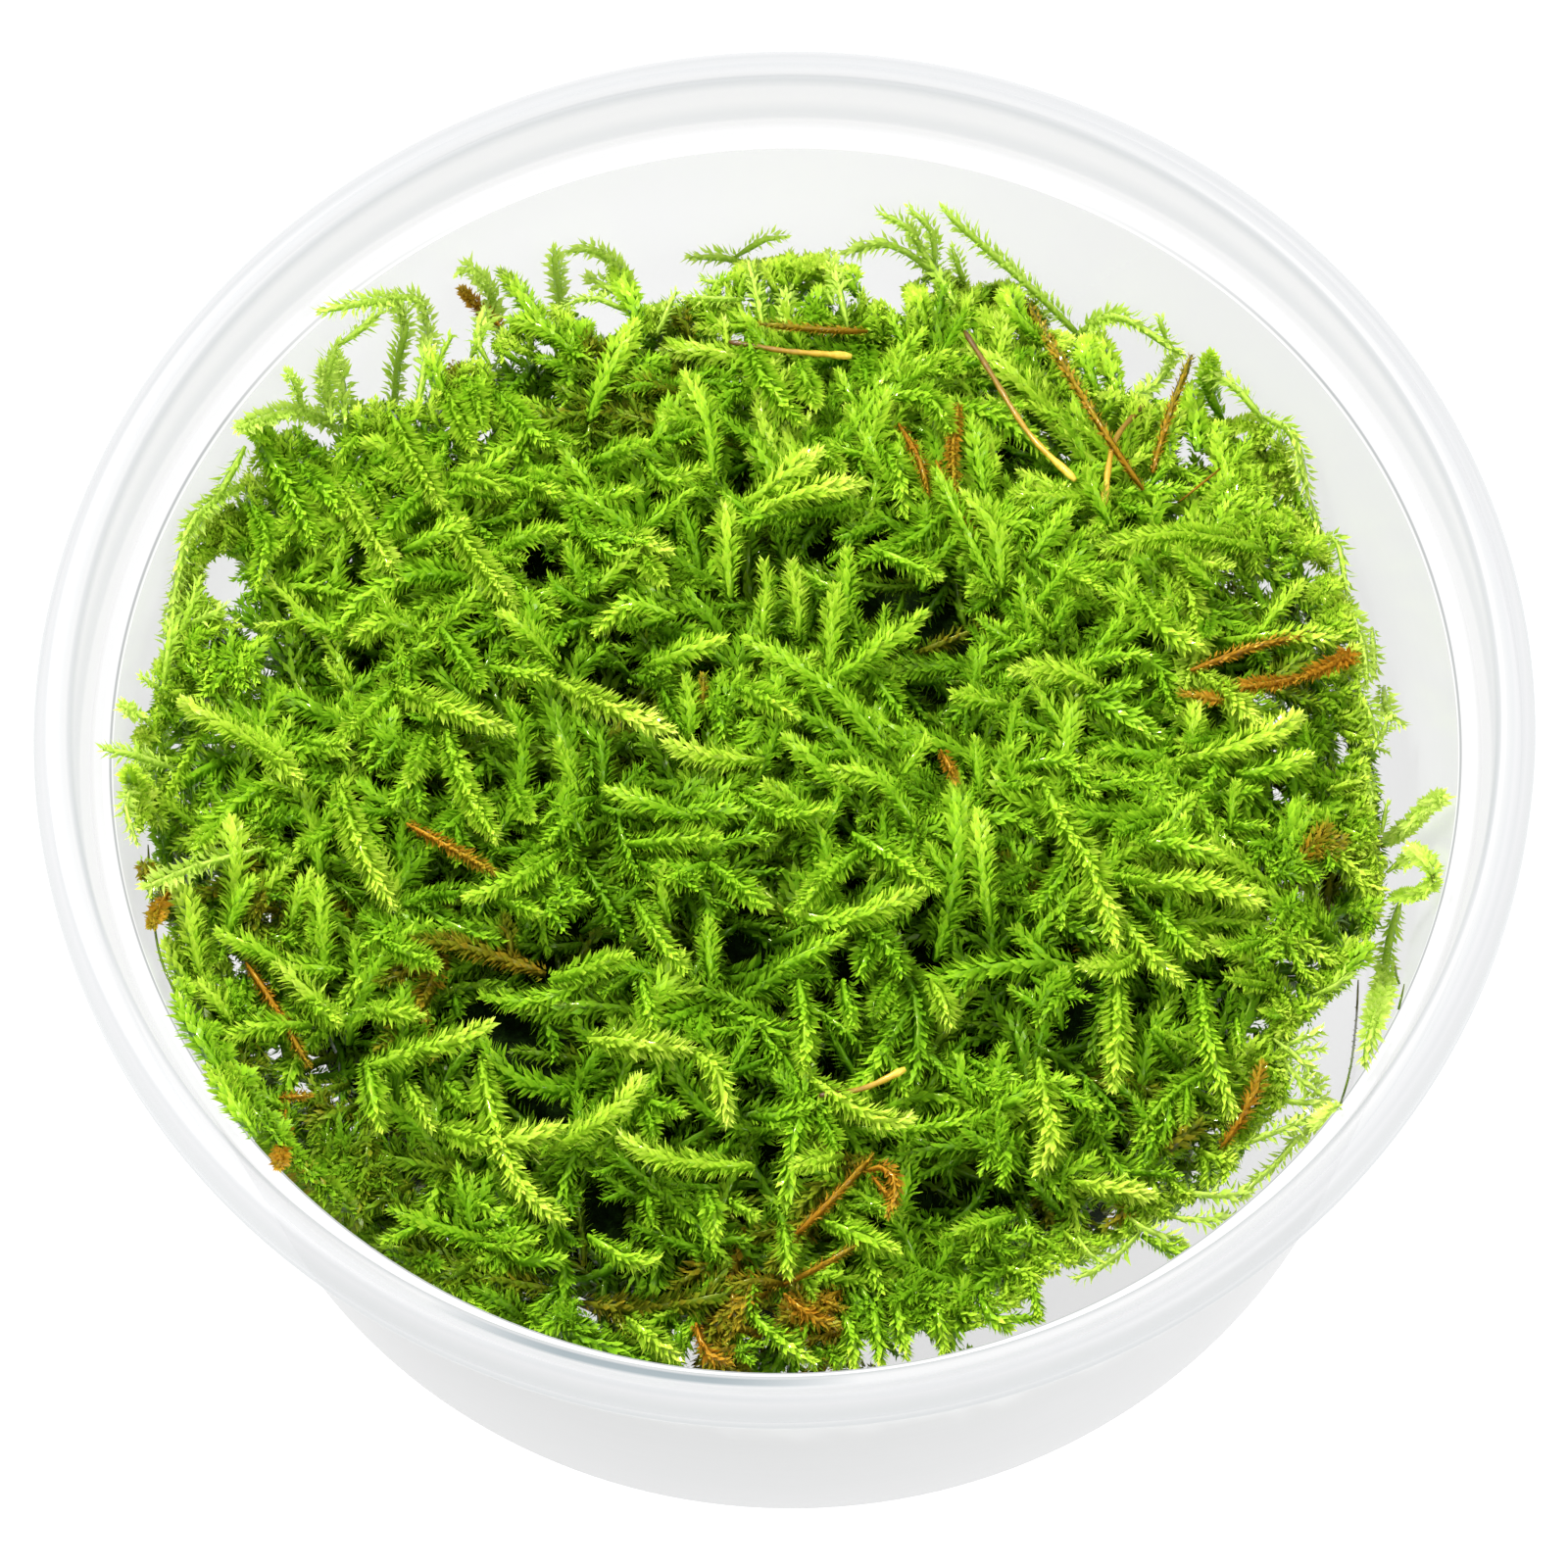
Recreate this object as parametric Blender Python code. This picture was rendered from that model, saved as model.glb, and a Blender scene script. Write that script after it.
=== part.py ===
"""A clump of leafy moss in its round, milky clear plastic cup.

The cup is one moulded piece. The moss mat fills it as one tangled cushion, with its
larger shoots fused to it. Loose shoots lean on the cup's wall around the mat, and dead
brown stems lie on top. The origin is the middle of the cup's foot, with +Z up and the
side that the picture looks from at -Y.
"""

import math
import random

import bmesh
import bpy
from mathutils import Vector
from mathutils.bvhtree import BVHTree

MM = 0.001

# Cup: rim, ledge, tapered wall and foot
CUP_SEGMENTS = 64
RIM_RADIUS = 50.5 * MM
RIM_INNER_RADIUS = 47.9 * MM
CUP_HEIGHT = 44.4 * MM
SKIRT_DEPTH = 3.1 * MM
SKIRT_THICKNESS = 0.9 * MM
RIM_THICKNESS = 1.0 * MM
RIM_ROUNDING = 1.2 * MM
LEDGE_HEIGHT = 38.7 * MM
LEDGE_INNER_RADIUS = 45.6 * MM
LEDGE_WIDTH = 1.3 * MM
LEDGE_RISE = 0.5 * MM
WALL_THICKNESS = 0.9 * MM
FLOOR_TOP = 1.7 * MM
FLOOR_RECESS = 0.8 * MM
FLOOR_CORNER = 1.2 * MM
FLOOR_INNER_RADIUS = 41.0 * MM
FOOT_RADIUS = 41.7 * MM
FOOT_ROUNDING = 1.1 * MM
FOOT_RING_WIDTH = 2.1 * MM
FOOT_RING_SLOPE = 1.0 * MM

# Gap that neighbouring pieces keep
GAP = 0.3 * MM

# Moss mat: a lumpy cushion that is highest in the middle and at its left side
MAT_SEGMENTS = 56
MAT_TOP_RINGS = 13
MAT_FLANK_RINGS = 4
MAT_TOP_HEIGHT = 35.4 * MM
MAT_EDGE_RADIUS = 41.9 * MM
MAT_EDGE_SWAY = 1.4 * MM
MAT_SWAY_TOWARDS = math.radians(190)
MAT_BACK_DENT = 1.4 * MM
MAT_BACK_RISE = 2.0 * MM
MAT_BACK_AZIMUTH = math.radians(88)
MAT_BACK_SPREAD = math.radians(42)
MAT_EDGE_HEIGHT = 30.2 * MM
MAT_LEFT_RISE = 3.0 * MM
MAT_SIDE_RISE = 1.8 * MM
MAT_DOME_POWER = 3.0
MAT_FLANK_POWER = 2.6
MAT_FOOT_RADIUS = 30.0 * MM
LUMP_HEIGHT = 0.75 * MM

# Hollows between the shoots, in millimetres: place across the cup, radius and depth
HOLLOWS = (
    (-14.0, -8.0, 4.6, 4.6),
    (-10.5, 2.0, 3.0, 2.8),
    (-7.5, -12.0, 2.8, 2.4),
    (1.5, -8.5, 3.2, 2.6),
    (21.0, 10.5, 3.0, 3.0),
    (30.5, 7.5, 3.8, 3.6),
    (16.5, -7.0, 3.4, 3.2),
    (18.5, -13.5, 3.0, 3.0),
    (26.5, -15.0, 3.2, 3.0),
    (33.0, -8.0, 2.8, 2.4),
    (-31.5, -21.5, 3.4, 2.8),
    (-26.5, -20.5, 2.8, 2.4),
    (-11.5, -31.0, 4.2, 3.4),
    (9.0, -31.0, 3.4, 3.4),
    (24.0, -25.0, 3.6, 3.2),
    (18.0, -31.0, 3.2, 2.8),
    (12.0, -19.0, 2.8, 2.4),
)

# Shoots fused to the mat
SHOOT_ROUNDNESS = 0
SHOOT_TRIES = 1500
SHOOT_START_MARGIN = 3.5 * MM
SHOOT_END_MARGIN = 2.6 * MM
SHOOT_LENGTH = (8.5 * MM, 14.0 * MM)
SHOOT_RADIUS = 1.3 * MM
SHOOT_TAPER = (0.7, 0.95, 1.0, 0.85, 0.35)
SHOOT_RISE = 1.9 * MM
SHOOT_ROOT_DEPTH = 1.2 * MM
SHOOT_TIP_RISE = 0.9 * MM
SHOOT_LIMIT_HEIGHT = 37.9 * MM
SHOOT_CLEARANCE = 2.3 * MM
STEM_CLEARANCE = 2.2 * MM
CLEARANCE_SAMPLES = 4
GOLDEN_ANGLE = math.pi * (3 - math.sqrt(5))
SEED = 11

# Loose shoots along the cup's wall: azimuth in degrees and height in millimetres, root to tip
LOOSE_SHOOT_ROUNDNESS = 1
LOOSE_SHOOT_RADIUS = 0.75 * MM
LOOSE_SHOOT_WALL_GAP = 0.5 * MM
LOOSE_SHOOT_STEPS = 3
LOOSE_SHOOTS = (
    ((131, 29.5), (127.5, 31), (126, 34.5), (128, 37.5)),
    ((137, 33), (134.5, 34.5), (132.5, 37)),
    ((141, 35.5), (143.5, 37.5), (147, 38.5)),
    ((150, 36), (153, 36.5), (156, 38)),
    ((118, 28), (116.5, 31), (117, 34.5), (119, 35.5)),
    ((112, 26), (110.5, 28.5), (109.5, 31.5)),
    ((102, 24), (103, 28.5), (105.5, 31.5)),
    ((91, 24), (92.5, 27), (97, 28)),
    ((70, 22), (74, 27), (78, 29.5), (82, 28)),
    ((60, 26.5), (63.5, 28.5), (68, 31), (72.5, 34.5)),
    ((56.5, 27), (54, 30), (49, 30.5)),
    ((40.5, 31), (43, 31.5), (45, 30.5)),
    ((37, 30), (34, 33), (32, 31), (30, 28.5)),
    ((-7, 29), (-5.5, 32), (-3, 35.5), (-1, 37.5)),
    ((-20, 26), (-24, 28), (-28, 28.5)),
)

# One shoot that reaches over the ledge at the left
LEDGE_SHOOT_AZIMUTH = math.radians(179)
LEDGE_SHOOT_ROOT = (41.6 * MM, 37.6 * MM)
LEDGE_SHOOT_MIDDLE = (44.0 * MM, 40.0 * MM)
LEDGE_SHOOT_TIP = (46.0 * MM, 41.0 * MM)

# Dead stems on the mat: points from root to tip in millimetres across the cup
STEM_RADIUS = 0.38 * MM
STEM_REST = 0.45 * MM
DEAD_STEMS = (
    ((14.0, 34.0), (17.5, 26.0), (21.0, 21.0)),
    ((26.5, 28.5), (24.0, 24.5), (22.8, 19.0)),
    ((-2.5, 33.0), (1.5, 32.0), (6.0, 31.5)),
    ((28.0, 6.0), (32.0, 8.0), (36.5, 9.5)),
    ((9.0, 25.5), (10.2, 22.5), (10.8, 19.5)),
    ((-1.0, -33.5), (2.0, -31.0), (4.5, -28.5)),
    ((1.0, -24.5), (4.0, -24.0), (7.0, -22.8)),
    ((-37.0, -13.0), (-35.0, -16.5), (-33.0, -20.5)),
)

# Colours: linear red, green, blue
CUP_COLOUR = (0.86, 0.88, 0.88)
CUP_ROUGHNESS = 0.25
MOSS_COLOUR = (0.10, 0.30, 0.015)
YOUNG_MOSS_COLOUR = (0.26, 0.50, 0.04)
MOSS_ROUGHNESS = 0.5
STEM_COLOUR = (0.38, 0.13, 0.03)
STEM_ROUGHNESS = 0.6


def material(name, colour, roughness, alpha=1.0):
    """One Principled material."""
    made = bpy.data.materials.new(name)
    made.use_nodes = True
    shader = made.node_tree.nodes["Principled BSDF"]
    shader.inputs["Base Color"].default_value = (*colour, 1.0)
    shader.inputs["Roughness"].default_value = roughness
    shader.inputs["Metallic"].default_value = 0.0
    shader.inputs["Alpha"].default_value = alpha
    return made


def add_object(name, mesh, finish):
    """Puts a mesh in the scene as a smooth object with its finish."""
    mesh.materials.clear()
    mesh.materials.append(finish)
    mesh.shade_smooth()
    mesh.set_sharp_from_angle(angle=math.radians(40))
    made = bpy.data.objects.new(name, mesh)
    bpy.context.scene.collection.objects.link(made)
    return made


def cup_profile():
    """The cup's section as (radius, height), from the middle underneath to the floor's middle."""
    skirt_bottom = CUP_HEIGHT - SKIRT_DEPTH
    ledge_outer = LEDGE_INNER_RADIUS + LEDGE_WIDTH
    shoulder = CUP_HEIGHT - RIM_ROUNDING
    under_rim = CUP_HEIGHT - RIM_THICKNESS
    foot_inner = FOOT_RADIUS - FOOT_ROUNDING - FOOT_RING_WIDTH
    return (
        (0.0, FLOOR_RECESS),
        (foot_inner - FOOT_RING_SLOPE, FLOOR_RECESS),
        (foot_inner, 0.0),
        (FOOT_RADIUS - FOOT_ROUNDING, 0.0),
        (FOOT_RADIUS - FOOT_ROUNDING / 3, FOOT_ROUNDING / 3),
        (FOOT_RADIUS, FOOT_ROUNDING),
        (LEDGE_INNER_RADIUS + WALL_THICKNESS, LEDGE_HEIGHT - WALL_THICKNESS),
        (ledge_outer + WALL_THICKNESS, LEDGE_HEIGHT),
        (RIM_INNER_RADIUS + WALL_THICKNESS, under_rim),
        (RIM_RADIUS - SKIRT_THICKNESS, under_rim),
        (RIM_RADIUS - SKIRT_THICKNESS, skirt_bottom),
        (RIM_RADIUS, skirt_bottom),
        (RIM_RADIUS, shoulder),
        (RIM_RADIUS - RIM_ROUNDING * 0.3, CUP_HEIGHT - RIM_ROUNDING * 0.3),
        (RIM_RADIUS - RIM_ROUNDING, CUP_HEIGHT),
        (RIM_INNER_RADIUS, CUP_HEIGHT),
        (ledge_outer, LEDGE_HEIGHT + LEDGE_RISE),
        (LEDGE_INNER_RADIUS, LEDGE_HEIGHT),
        (FLOOR_INNER_RADIUS, FLOOR_TOP + FLOOR_CORNER),
        (FLOOR_INNER_RADIUS - FLOOR_CORNER, FLOOR_TOP),
        (0.0, FLOOR_TOP),
    )


def wall_radius(height):
    """The inner radius of the cup's tapered wall at a height."""
    low = FLOOR_TOP + FLOOR_CORNER
    share = (height - low) / (LEDGE_HEIGHT - low)
    return FLOOR_INNER_RADIUS + share * (LEDGE_INNER_RADIUS - FLOOR_INNER_RADIUS)


def turned_mesh(name, profile, segments):
    """Spins a section round the Z axis into one closed mesh."""
    shape = bmesh.new()
    corners = [shape.verts.new((radius, 0.0, height)) for radius, height in profile]
    edges = [shape.edges.new(pair) for pair in zip(corners, corners[1:])]
    bmesh.ops.spin(
        shape, geom=corners + edges, cent=(0, 0, 0), axis=(0, 0, 1),
        angle=2 * math.pi, steps=segments, use_merge=True,
    )
    bmesh.ops.remove_doubles(shape, verts=shape.verts, dist=0.005 * MM)
    bmesh.ops.recalc_face_normals(shape, faces=shape.faces)
    mesh = bpy.data.meshes.new(name)
    shape.to_mesh(mesh)
    shape.free()
    return mesh


def share_of_back(azimuth):
    """One at the mat's back, fading to nothing at its sides."""
    from_back = math.remainder(azimuth - MAT_BACK_AZIMUTH, 2 * math.pi)
    return math.exp(-((from_back / MAT_BACK_SPREAD) ** 2))


def edge_radius(azimuth):
    """The mat's radius: wide at the left, and drawn in from the wall at the back."""
    sway = MAT_EDGE_SWAY * math.cos(azimuth - MAT_SWAY_TOWARDS)
    return MAT_EDGE_RADIUS + sway - MAT_BACK_DENT * share_of_back(azimuth)


def edge_height(azimuth):
    """The height where the mat's top turns over into its flank."""
    left = MAT_LEFT_RISE * -math.cos(azimuth)
    sides = MAT_SIDE_RISE * math.cos(2 * azimuth)
    return MAT_EDGE_HEIGHT + left + sides + MAT_BACK_RISE * share_of_back(azimuth)


def lumps(x, y):
    """Low bumps over the mat's top, 11 to 17 mm from one to the next."""
    waves = (
        math.sin(x / (2.1 * MM) + 0.6) * math.cos(y / (2.6 * MM)),
        math.sin((x + y) / (2.4 * MM)),
        math.cos((x - 0.7 * y) / (1.8 * MM) + 1.9),
    )
    return LUMP_HEIGHT * sum(waves) / 2


def hollow_depth(x, y):
    """How far the hollows lower the mat's top at a point."""
    deepest = 0.0
    for middle_x, middle_y, radius, depth in HOLLOWS:
        away = math.hypot(x - middle_x * MM, y - middle_y * MM) / (radius * MM)
        deepest = max(deepest, depth * MM * (1 - away ** 2))
    return deepest


def mat_point(turn, azimuth, hollowed):
    """The mat's surface from the top's middle (turn 0) over the edge (1) to the foot (2)."""
    radius_at_edge = edge_radius(azimuth)
    height_at_edge = edge_height(azimuth)
    foot = FLOOR_TOP + GAP
    if turn <= 1:
        radius = turn * radius_at_edge
        drop = (MAT_TOP_HEIGHT - height_at_edge) * turn ** MAT_DOME_POWER
        height = MAT_TOP_HEIGHT - drop
    else:
        share = turn - 1
        narrowing = (radius_at_edge - MAT_FOOT_RADIUS) * share ** MAT_FLANK_POWER
        radius = radius_at_edge - narrowing
        height = height_at_edge + (foot - height_at_edge) * share
    x = radius * math.cos(azimuth)
    y = radius * math.sin(azimuth)
    if turn < 1:
        height += lumps(x, y) * (1 - turn ** 3)
    if turn < 1 and hollowed:
        height -= hollow_depth(x, y)
    return Vector((x, y, height))


def mat_mound(hollowed):
    """The mat without its shoots: a sphere drawn out to the cushion's form."""
    rings = MAT_TOP_RINGS + MAT_FLANK_RINGS + 1
    shape = bmesh.new()
    bmesh.ops.create_uvsphere(shape, u_segments=MAT_SEGMENTS, v_segments=rings, radius=1.0)
    for corner in shape.verts:
        polar = math.acos(max(-1.0, min(1.0, corner.co.z)))
        ring = round(polar / math.pi * rings)
        azimuth = math.atan2(corner.co.y, corner.co.x)
        if ring == rings:
            corner.co = (0.0, 0.0, FLOOR_TOP + GAP)
        elif ring <= MAT_TOP_RINGS:
            corner.co = mat_point(ring / MAT_TOP_RINGS, azimuth, hollowed)
        else:
            turn = 1 + (ring - MAT_TOP_RINGS) / MAT_FLANK_RINGS
            corner.co = mat_point(turn, azimuth, hollowed)
    bmesh.ops.recalc_face_normals(shape, faces=shape.faces)
    return shape


def height_over(mound, x, y):
    """The height of the mound's top under a point, or None beside it."""
    hit = mound.ray_cast(Vector((x, y, CUP_HEIGHT)), Vector((0, 0, -1)))
    return None if hit[0] is None else hit[0].z


def tube_curve(name, paths, radii, roundness):
    """A curve object of round tubes, one for each path, that taper by the radii."""
    curve = bpy.data.curves.new(name, "CURVE")
    curve.dimensions = "3D"
    curve.bevel_depth = 1.0
    curve.bevel_resolution = roundness
    curve.use_fill_caps = True
    for path, widths in zip(paths, radii):
        spline = curve.splines.new("POLY")
        spline.points.add(len(path) - 1)
        for point, place, width in zip(spline.points, path, widths):
            point.co = (*place, 1.0)
            point.radius = width
    made = bpy.data.objects.new(name, curve)
    bpy.context.scene.collection.objects.link(made)
    return made


def tube_mesh(name, paths, radii, roundness):
    """The closed mesh of round tubes along paths."""
    guide = tube_curve(name + "_guide", paths, radii, roundness)
    bpy.context.view_layer.update()
    mesh = bpy.data.meshes.new_from_object(guide)
    mesh.name = name
    bpy.data.objects.remove(guide)
    shape = bmesh.new()
    shape.from_mesh(mesh)
    bmesh.ops.remove_doubles(shape, verts=shape.verts, dist=0.001 * MM)
    bmesh.ops.recalc_face_normals(shape, faces=shape.faces)
    shape.to_mesh(mesh)
    shape.free()
    return mesh


def stem_path(mound, corners):
    """A dead stem's centre line, laid over the mound along its corners."""
    path = []
    for start, end in zip(corners, corners[1:]):
        for share in (0.0, 0.5):
            path.append([a + (b - a) * share for a, b in zip(start, end)])
    path.append(list(corners[-1]))
    lift = STEM_RADIUS + STEM_REST
    return [
        Vector((x * MM, y * MM, height_over(mound, x * MM, y * MM) + lift))
        for x, y in path
    ]


def shoot_path(mound, start, heading, length):
    """A fused shoot's centre line: rooted in the mound, arched over it, tip just above."""
    path = []
    steps = len(SHOOT_TAPER) - 1
    for step in range(steps + 1):
        share = step / steps
        x = start.x + math.cos(heading) * length * share
        y = start.y + math.sin(heading) * length * share
        ground = height_over(mound, x, y)
        if ground is None:
            return None
        arch = SHOOT_RISE * 4 * share * (1 - share)
        lift = -SHOOT_ROOT_DEPTH + (SHOOT_ROOT_DEPTH + SHOOT_TIP_RISE) * share
        path.append(Vector((x, y, min(ground + arch + lift, SHOOT_LIMIT_HEIGHT))))
    return path


def spots_along(path):
    """Close points along a path, seen from above."""
    spots = []
    for start, end in zip(path, path[1:]):
        for step in range(CLEARANCE_SAMPLES):
            spots.append(start.lerp(end, step / CLEARANCE_SAMPLES).to_2d())
    spots.append(path[-1].to_2d())
    return spots


def is_clear(path, others, distance):
    """Whether a path keeps a distance from other paths, seen from above."""
    taken = [spot for other in others for spot in spots_along(other)]
    return all((place - spot).length > distance for place in spots_along(path) for spot in taken)


def is_beside_hollows(path):
    """Whether a path keeps off the hollows, seen from above."""
    for place in spots_along(path):
        for middle_x, middle_y, radius, _ in HOLLOWS:
            if math.hypot(place.x - middle_x * MM, place.y - middle_y * MM) < radius * MM:
                return False
    return True


def fused_shoots(mound, stems):
    """Centre lines of the shoots fused to the mat, tried from its middle outwards."""
    rand = random.Random(SEED)
    paths = []
    for index in range(SHOOT_TRIES):
        azimuth = index * GOLDEN_ANGLE
        reach = edge_radius(azimuth) - SHOOT_START_MARGIN
        radius = reach * math.sqrt((index + 0.5) / SHOOT_TRIES)
        start = Vector((radius * math.cos(azimuth), radius * math.sin(azimuth), 0.0))
        heading = rand.uniform(0, 2 * math.pi)
        length = rand.uniform(*SHOOT_LENGTH)
        end = start + Vector((math.cos(heading), math.sin(heading), 0.0)) * length
        limit = edge_radius(math.atan2(end.y, end.x)) - SHOOT_END_MARGIN
        if end.length > limit:
            heading = azimuth + math.pi * rand.uniform(0.65, 1.35)
        path = shoot_path(mound, start, heading, length)
        if path is None or not is_clear(path, stems, STEM_CLEARANCE):
            continue
        if is_beside_hollows(path) and is_clear(path, paths, SHOOT_CLEARANCE):
            paths.append(path)
    return paths


def loose_shoot_path(corners):
    """A loose shoot's centre line, which bends round its corners along the cup's wall."""
    places = [corners[0]]
    for start, end in zip(corners, corners[1:]):
        for step in range(1, LOOSE_SHOOT_STEPS):
            share = step / LOOSE_SHOOT_STEPS
            places.append([a + (b - a) * share for a, b in zip(start, end)])
    places.append(corners[-1])
    path = []
    for degrees, height in places:
        azimuth = math.radians(degrees)
        radius = wall_radius(height * MM) - LOOSE_SHOOT_RADIUS - LOOSE_SHOOT_WALL_GAP
        path.append(Vector((radius * math.cos(azimuth), radius * math.sin(azimuth), height * MM)))
    return path


def tapered(count, radius):
    """Radii along a shoot: full in the middle, slimmer at the root, narrow at the tip."""
    radii = []
    for index in range(count):
        share = index / (count - 1)
        radii.append(radius * (0.75 + 0.25 * math.sin(math.pi * share) - 0.35 * share ** 4))
    return radii


def keep_outer_skin(mesh):
    """Leaves only the mesh's largest connected skin, so that no pocket stays sealed inside."""
    shape = bmesh.new()
    shape.from_mesh(mesh)
    skins = []
    unseen = set(shape.verts)
    while unseen:
        skin = [unseen.pop()]
        for corner in skin:
            for edge in corner.link_edges:
                other = edge.other_vert(corner)
                if other in unseen:
                    unseen.remove(other)
                    skin.append(other)
        skins.append(skin)
    skins.sort(key=len)
    for skin in skins[:-1]:
        bmesh.ops.delete(shape, geom=skin, context="VERTS")
    shape.to_mesh(mesh)
    shape.free()


def united_mesh(name, body, tool):
    """The closed mesh of two objects' union. Both objects are removed."""
    union = body.modifiers.new("union", "BOOLEAN")
    union.operation = "UNION"
    union.solver = "EXACT"
    union.use_self = True
    union.object = tool
    graph = bpy.context.evaluated_depsgraph_get()
    mesh = bpy.data.meshes.new_from_object(body.evaluated_get(graph))
    mesh.name = name
    for used in (body, tool):
        bpy.data.objects.remove(used)
    keep_outer_skin(mesh)
    return mesh


def build_cup():
    """The moulded cup."""
    finish = material("milky_plastic", CUP_COLOUR, CUP_ROUGHNESS, alpha=0.35)
    add_object("cup", turned_mesh("cup", cup_profile(), CUP_SEGMENTS), finish)


def build_moss(moss, stem_finish):
    """The mat with its fused shoots, and the dead stems that lie on it."""
    smooth = mat_mound(hollowed=False)
    mound = BVHTree.FromBMesh(smooth)
    smooth.free()
    shape = mat_mound(hollowed=True)
    stems = [stem_path(mound, corners) for corners in DEAD_STEMS]
    paths = fused_shoots(mound, stems)
    cushion = bpy.data.meshes.new("cushion")
    shape.to_mesh(cushion)
    shape.free()
    radii = [[SHOOT_RADIUS * width for width in SHOOT_TAPER]] * len(paths)
    body = add_object("cushion", cushion, moss)
    shoots = add_object("shoots", tube_mesh("shoots", paths, radii, SHOOT_ROUNDNESS), moss)
    add_object("moss_mat", united_mesh("moss_mat", body, shoots), moss)
    for number, path in enumerate(stems, 1):
        name = f"dead_stem_{number}"
        stem = tube_mesh(name, [path], [tapered(len(path), STEM_RADIUS)], 0)
        add_object(name, stem, stem_finish)


def build_loose_shoots(moss):
    """The shoots that stand clear of the mat along the cup's wall, and one over its ledge."""
    paths = [loose_shoot_path(corners) for corners in LOOSE_SHOOTS]
    direction = Vector((math.cos(LEDGE_SHOOT_AZIMUTH), math.sin(LEDGE_SHOOT_AZIMUTH), 0.0))
    over_ledge = (LEDGE_SHOOT_ROOT, LEDGE_SHOOT_MIDDLE, LEDGE_SHOOT_TIP)
    paths.append([direction * radius + Vector((0, 0, height)) for radius, height in over_ledge])
    for number, path in enumerate(paths, 1):
        name = f"loose_shoot_{number}"
        radii = tapered(len(path), LOOSE_SHOOT_RADIUS)
        add_object(name, tube_mesh(name, [path], [radii], LOOSE_SHOOT_ROUNDNESS), moss)


def main():
    """Clears the scene and builds every piece."""
    for old in list(bpy.data.objects):
        bpy.data.objects.remove(old)
    build_cup()
    build_moss(
        material("moss_green", MOSS_COLOUR, MOSS_ROUGHNESS),
        material("dead_brown", STEM_COLOUR, STEM_ROUGHNESS),
    )
    build_loose_shoots(material("young_moss_green", YOUNG_MOSS_COLOUR, MOSS_ROUGHNESS))


main()
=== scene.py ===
"""Dresses the moss clump: a cushion of leafy moss shoots in a milky plastic cup.

Lengths in the classes are millimetres, and meshes are written in metres. +Z is up, and the
photograph was taken from the -Y side, looking steeply down.
"""
from __future__ import annotations

import logging
import math
from collections.abc import Callable
from dataclasses import dataclass, field
from enum import Enum

import bpy
import numpy as np
from mathutils import Matrix, Vector


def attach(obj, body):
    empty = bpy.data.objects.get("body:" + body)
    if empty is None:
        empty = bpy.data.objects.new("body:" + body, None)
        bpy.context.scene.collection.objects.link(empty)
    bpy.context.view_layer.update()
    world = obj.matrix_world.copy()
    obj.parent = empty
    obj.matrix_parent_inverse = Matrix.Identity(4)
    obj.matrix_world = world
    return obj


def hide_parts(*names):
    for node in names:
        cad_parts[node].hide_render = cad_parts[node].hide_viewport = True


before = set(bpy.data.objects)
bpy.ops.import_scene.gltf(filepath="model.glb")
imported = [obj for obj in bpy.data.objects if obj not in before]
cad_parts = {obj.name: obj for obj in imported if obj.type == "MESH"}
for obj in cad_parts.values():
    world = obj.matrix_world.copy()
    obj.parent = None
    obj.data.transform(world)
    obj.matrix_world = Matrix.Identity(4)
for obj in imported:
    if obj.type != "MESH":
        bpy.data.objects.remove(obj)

MM = 0.001
GOLDEN_ANGLE = math.pi * (3 - math.sqrt(5))
LOG = logging.getLogger("moss_clump")

Pixel = tuple[float, float]
Route = tuple[Pixel, ...]


class Age(Enum):
    """How old a shoot is, which sets where its leaves sit on the chart of colours."""

    DEAD = 0.12
    DYING = 0.2
    OLIVE = 0.34
    FRESH = 0.76
    BRIGHT = 0.86
    PALE = 0.93


def select_nothing() -> None:
    """Deselects everything, so that an operator acts on the new piece alone."""
    bpy.ops.object.select_all(action="DESELECT")


def unit(rows: np.ndarray) -> np.ndarray:
    """Scales vectors to length one.

    Args:
        rows: One vector in each row.

    Returns:
        The same directions with length one.
    """
    return rows / np.maximum(np.linalg.norm(rows, axis=-1, keepdims=True), 1e-9)


def linear(hex_colour: str) -> tuple[float, float, float, float]:
    """Turns an sRGB hex colour into the linear values that a shader takes.

    Args:
        hex_colour: Six hex digits, such as "A8D820".

    Returns:
        Red, green, blue and one for alpha.
    """
    parts = [int(hex_colour[i : i + 2], 16) / 255 for i in (0, 2, 4)]
    low = [p / 12.92 if p <= 0.04045 else ((p + 0.055) / 1.055) ** 2.4 for p in parts]
    return (low[0], low[1], low[2], 1.0)


def add_node(
    tree: bpy.types.NodeTree,
    kind: str,
    settings: dict[str, object] | None = None,
    values: dict[str | int, object] | None = None,
    links: dict[str | int, bpy.types.NodeSocket] | None = None,
    stops: tuple[tuple[float, str], ...] = (),
) -> bpy.types.Node:
    """Adds a shader node with its settings, its values and what feeds it.

    Args:
        tree: The node tree that takes the node.
        kind: The node's Blender type.
        settings: Properties of the node itself.
        values: Fixed numbers or colours for its inputs.
        links: Output sockets that feed its inputs.
        stops: Place and sRGB hex colour of each stop, for a colour ramp.

    Returns:
        The new node.
    """
    made = tree.nodes.new(kind)
    for name, setting in (settings or {}).items():
        setattr(made, name, setting)
    for name, number in (values or {}).items():
        made.inputs[name].default_value = number
    for name, socket in (links or {}).items():
        tree.links.new(socket, made.inputs[name])
    for i, (place, colour) in enumerate(stops):
        elements = made.color_ramp.elements
        element = elements[i] if i < len(elements) else elements.new(place)
        element.position = place
        element.color = linear(colour)
    return made


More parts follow.
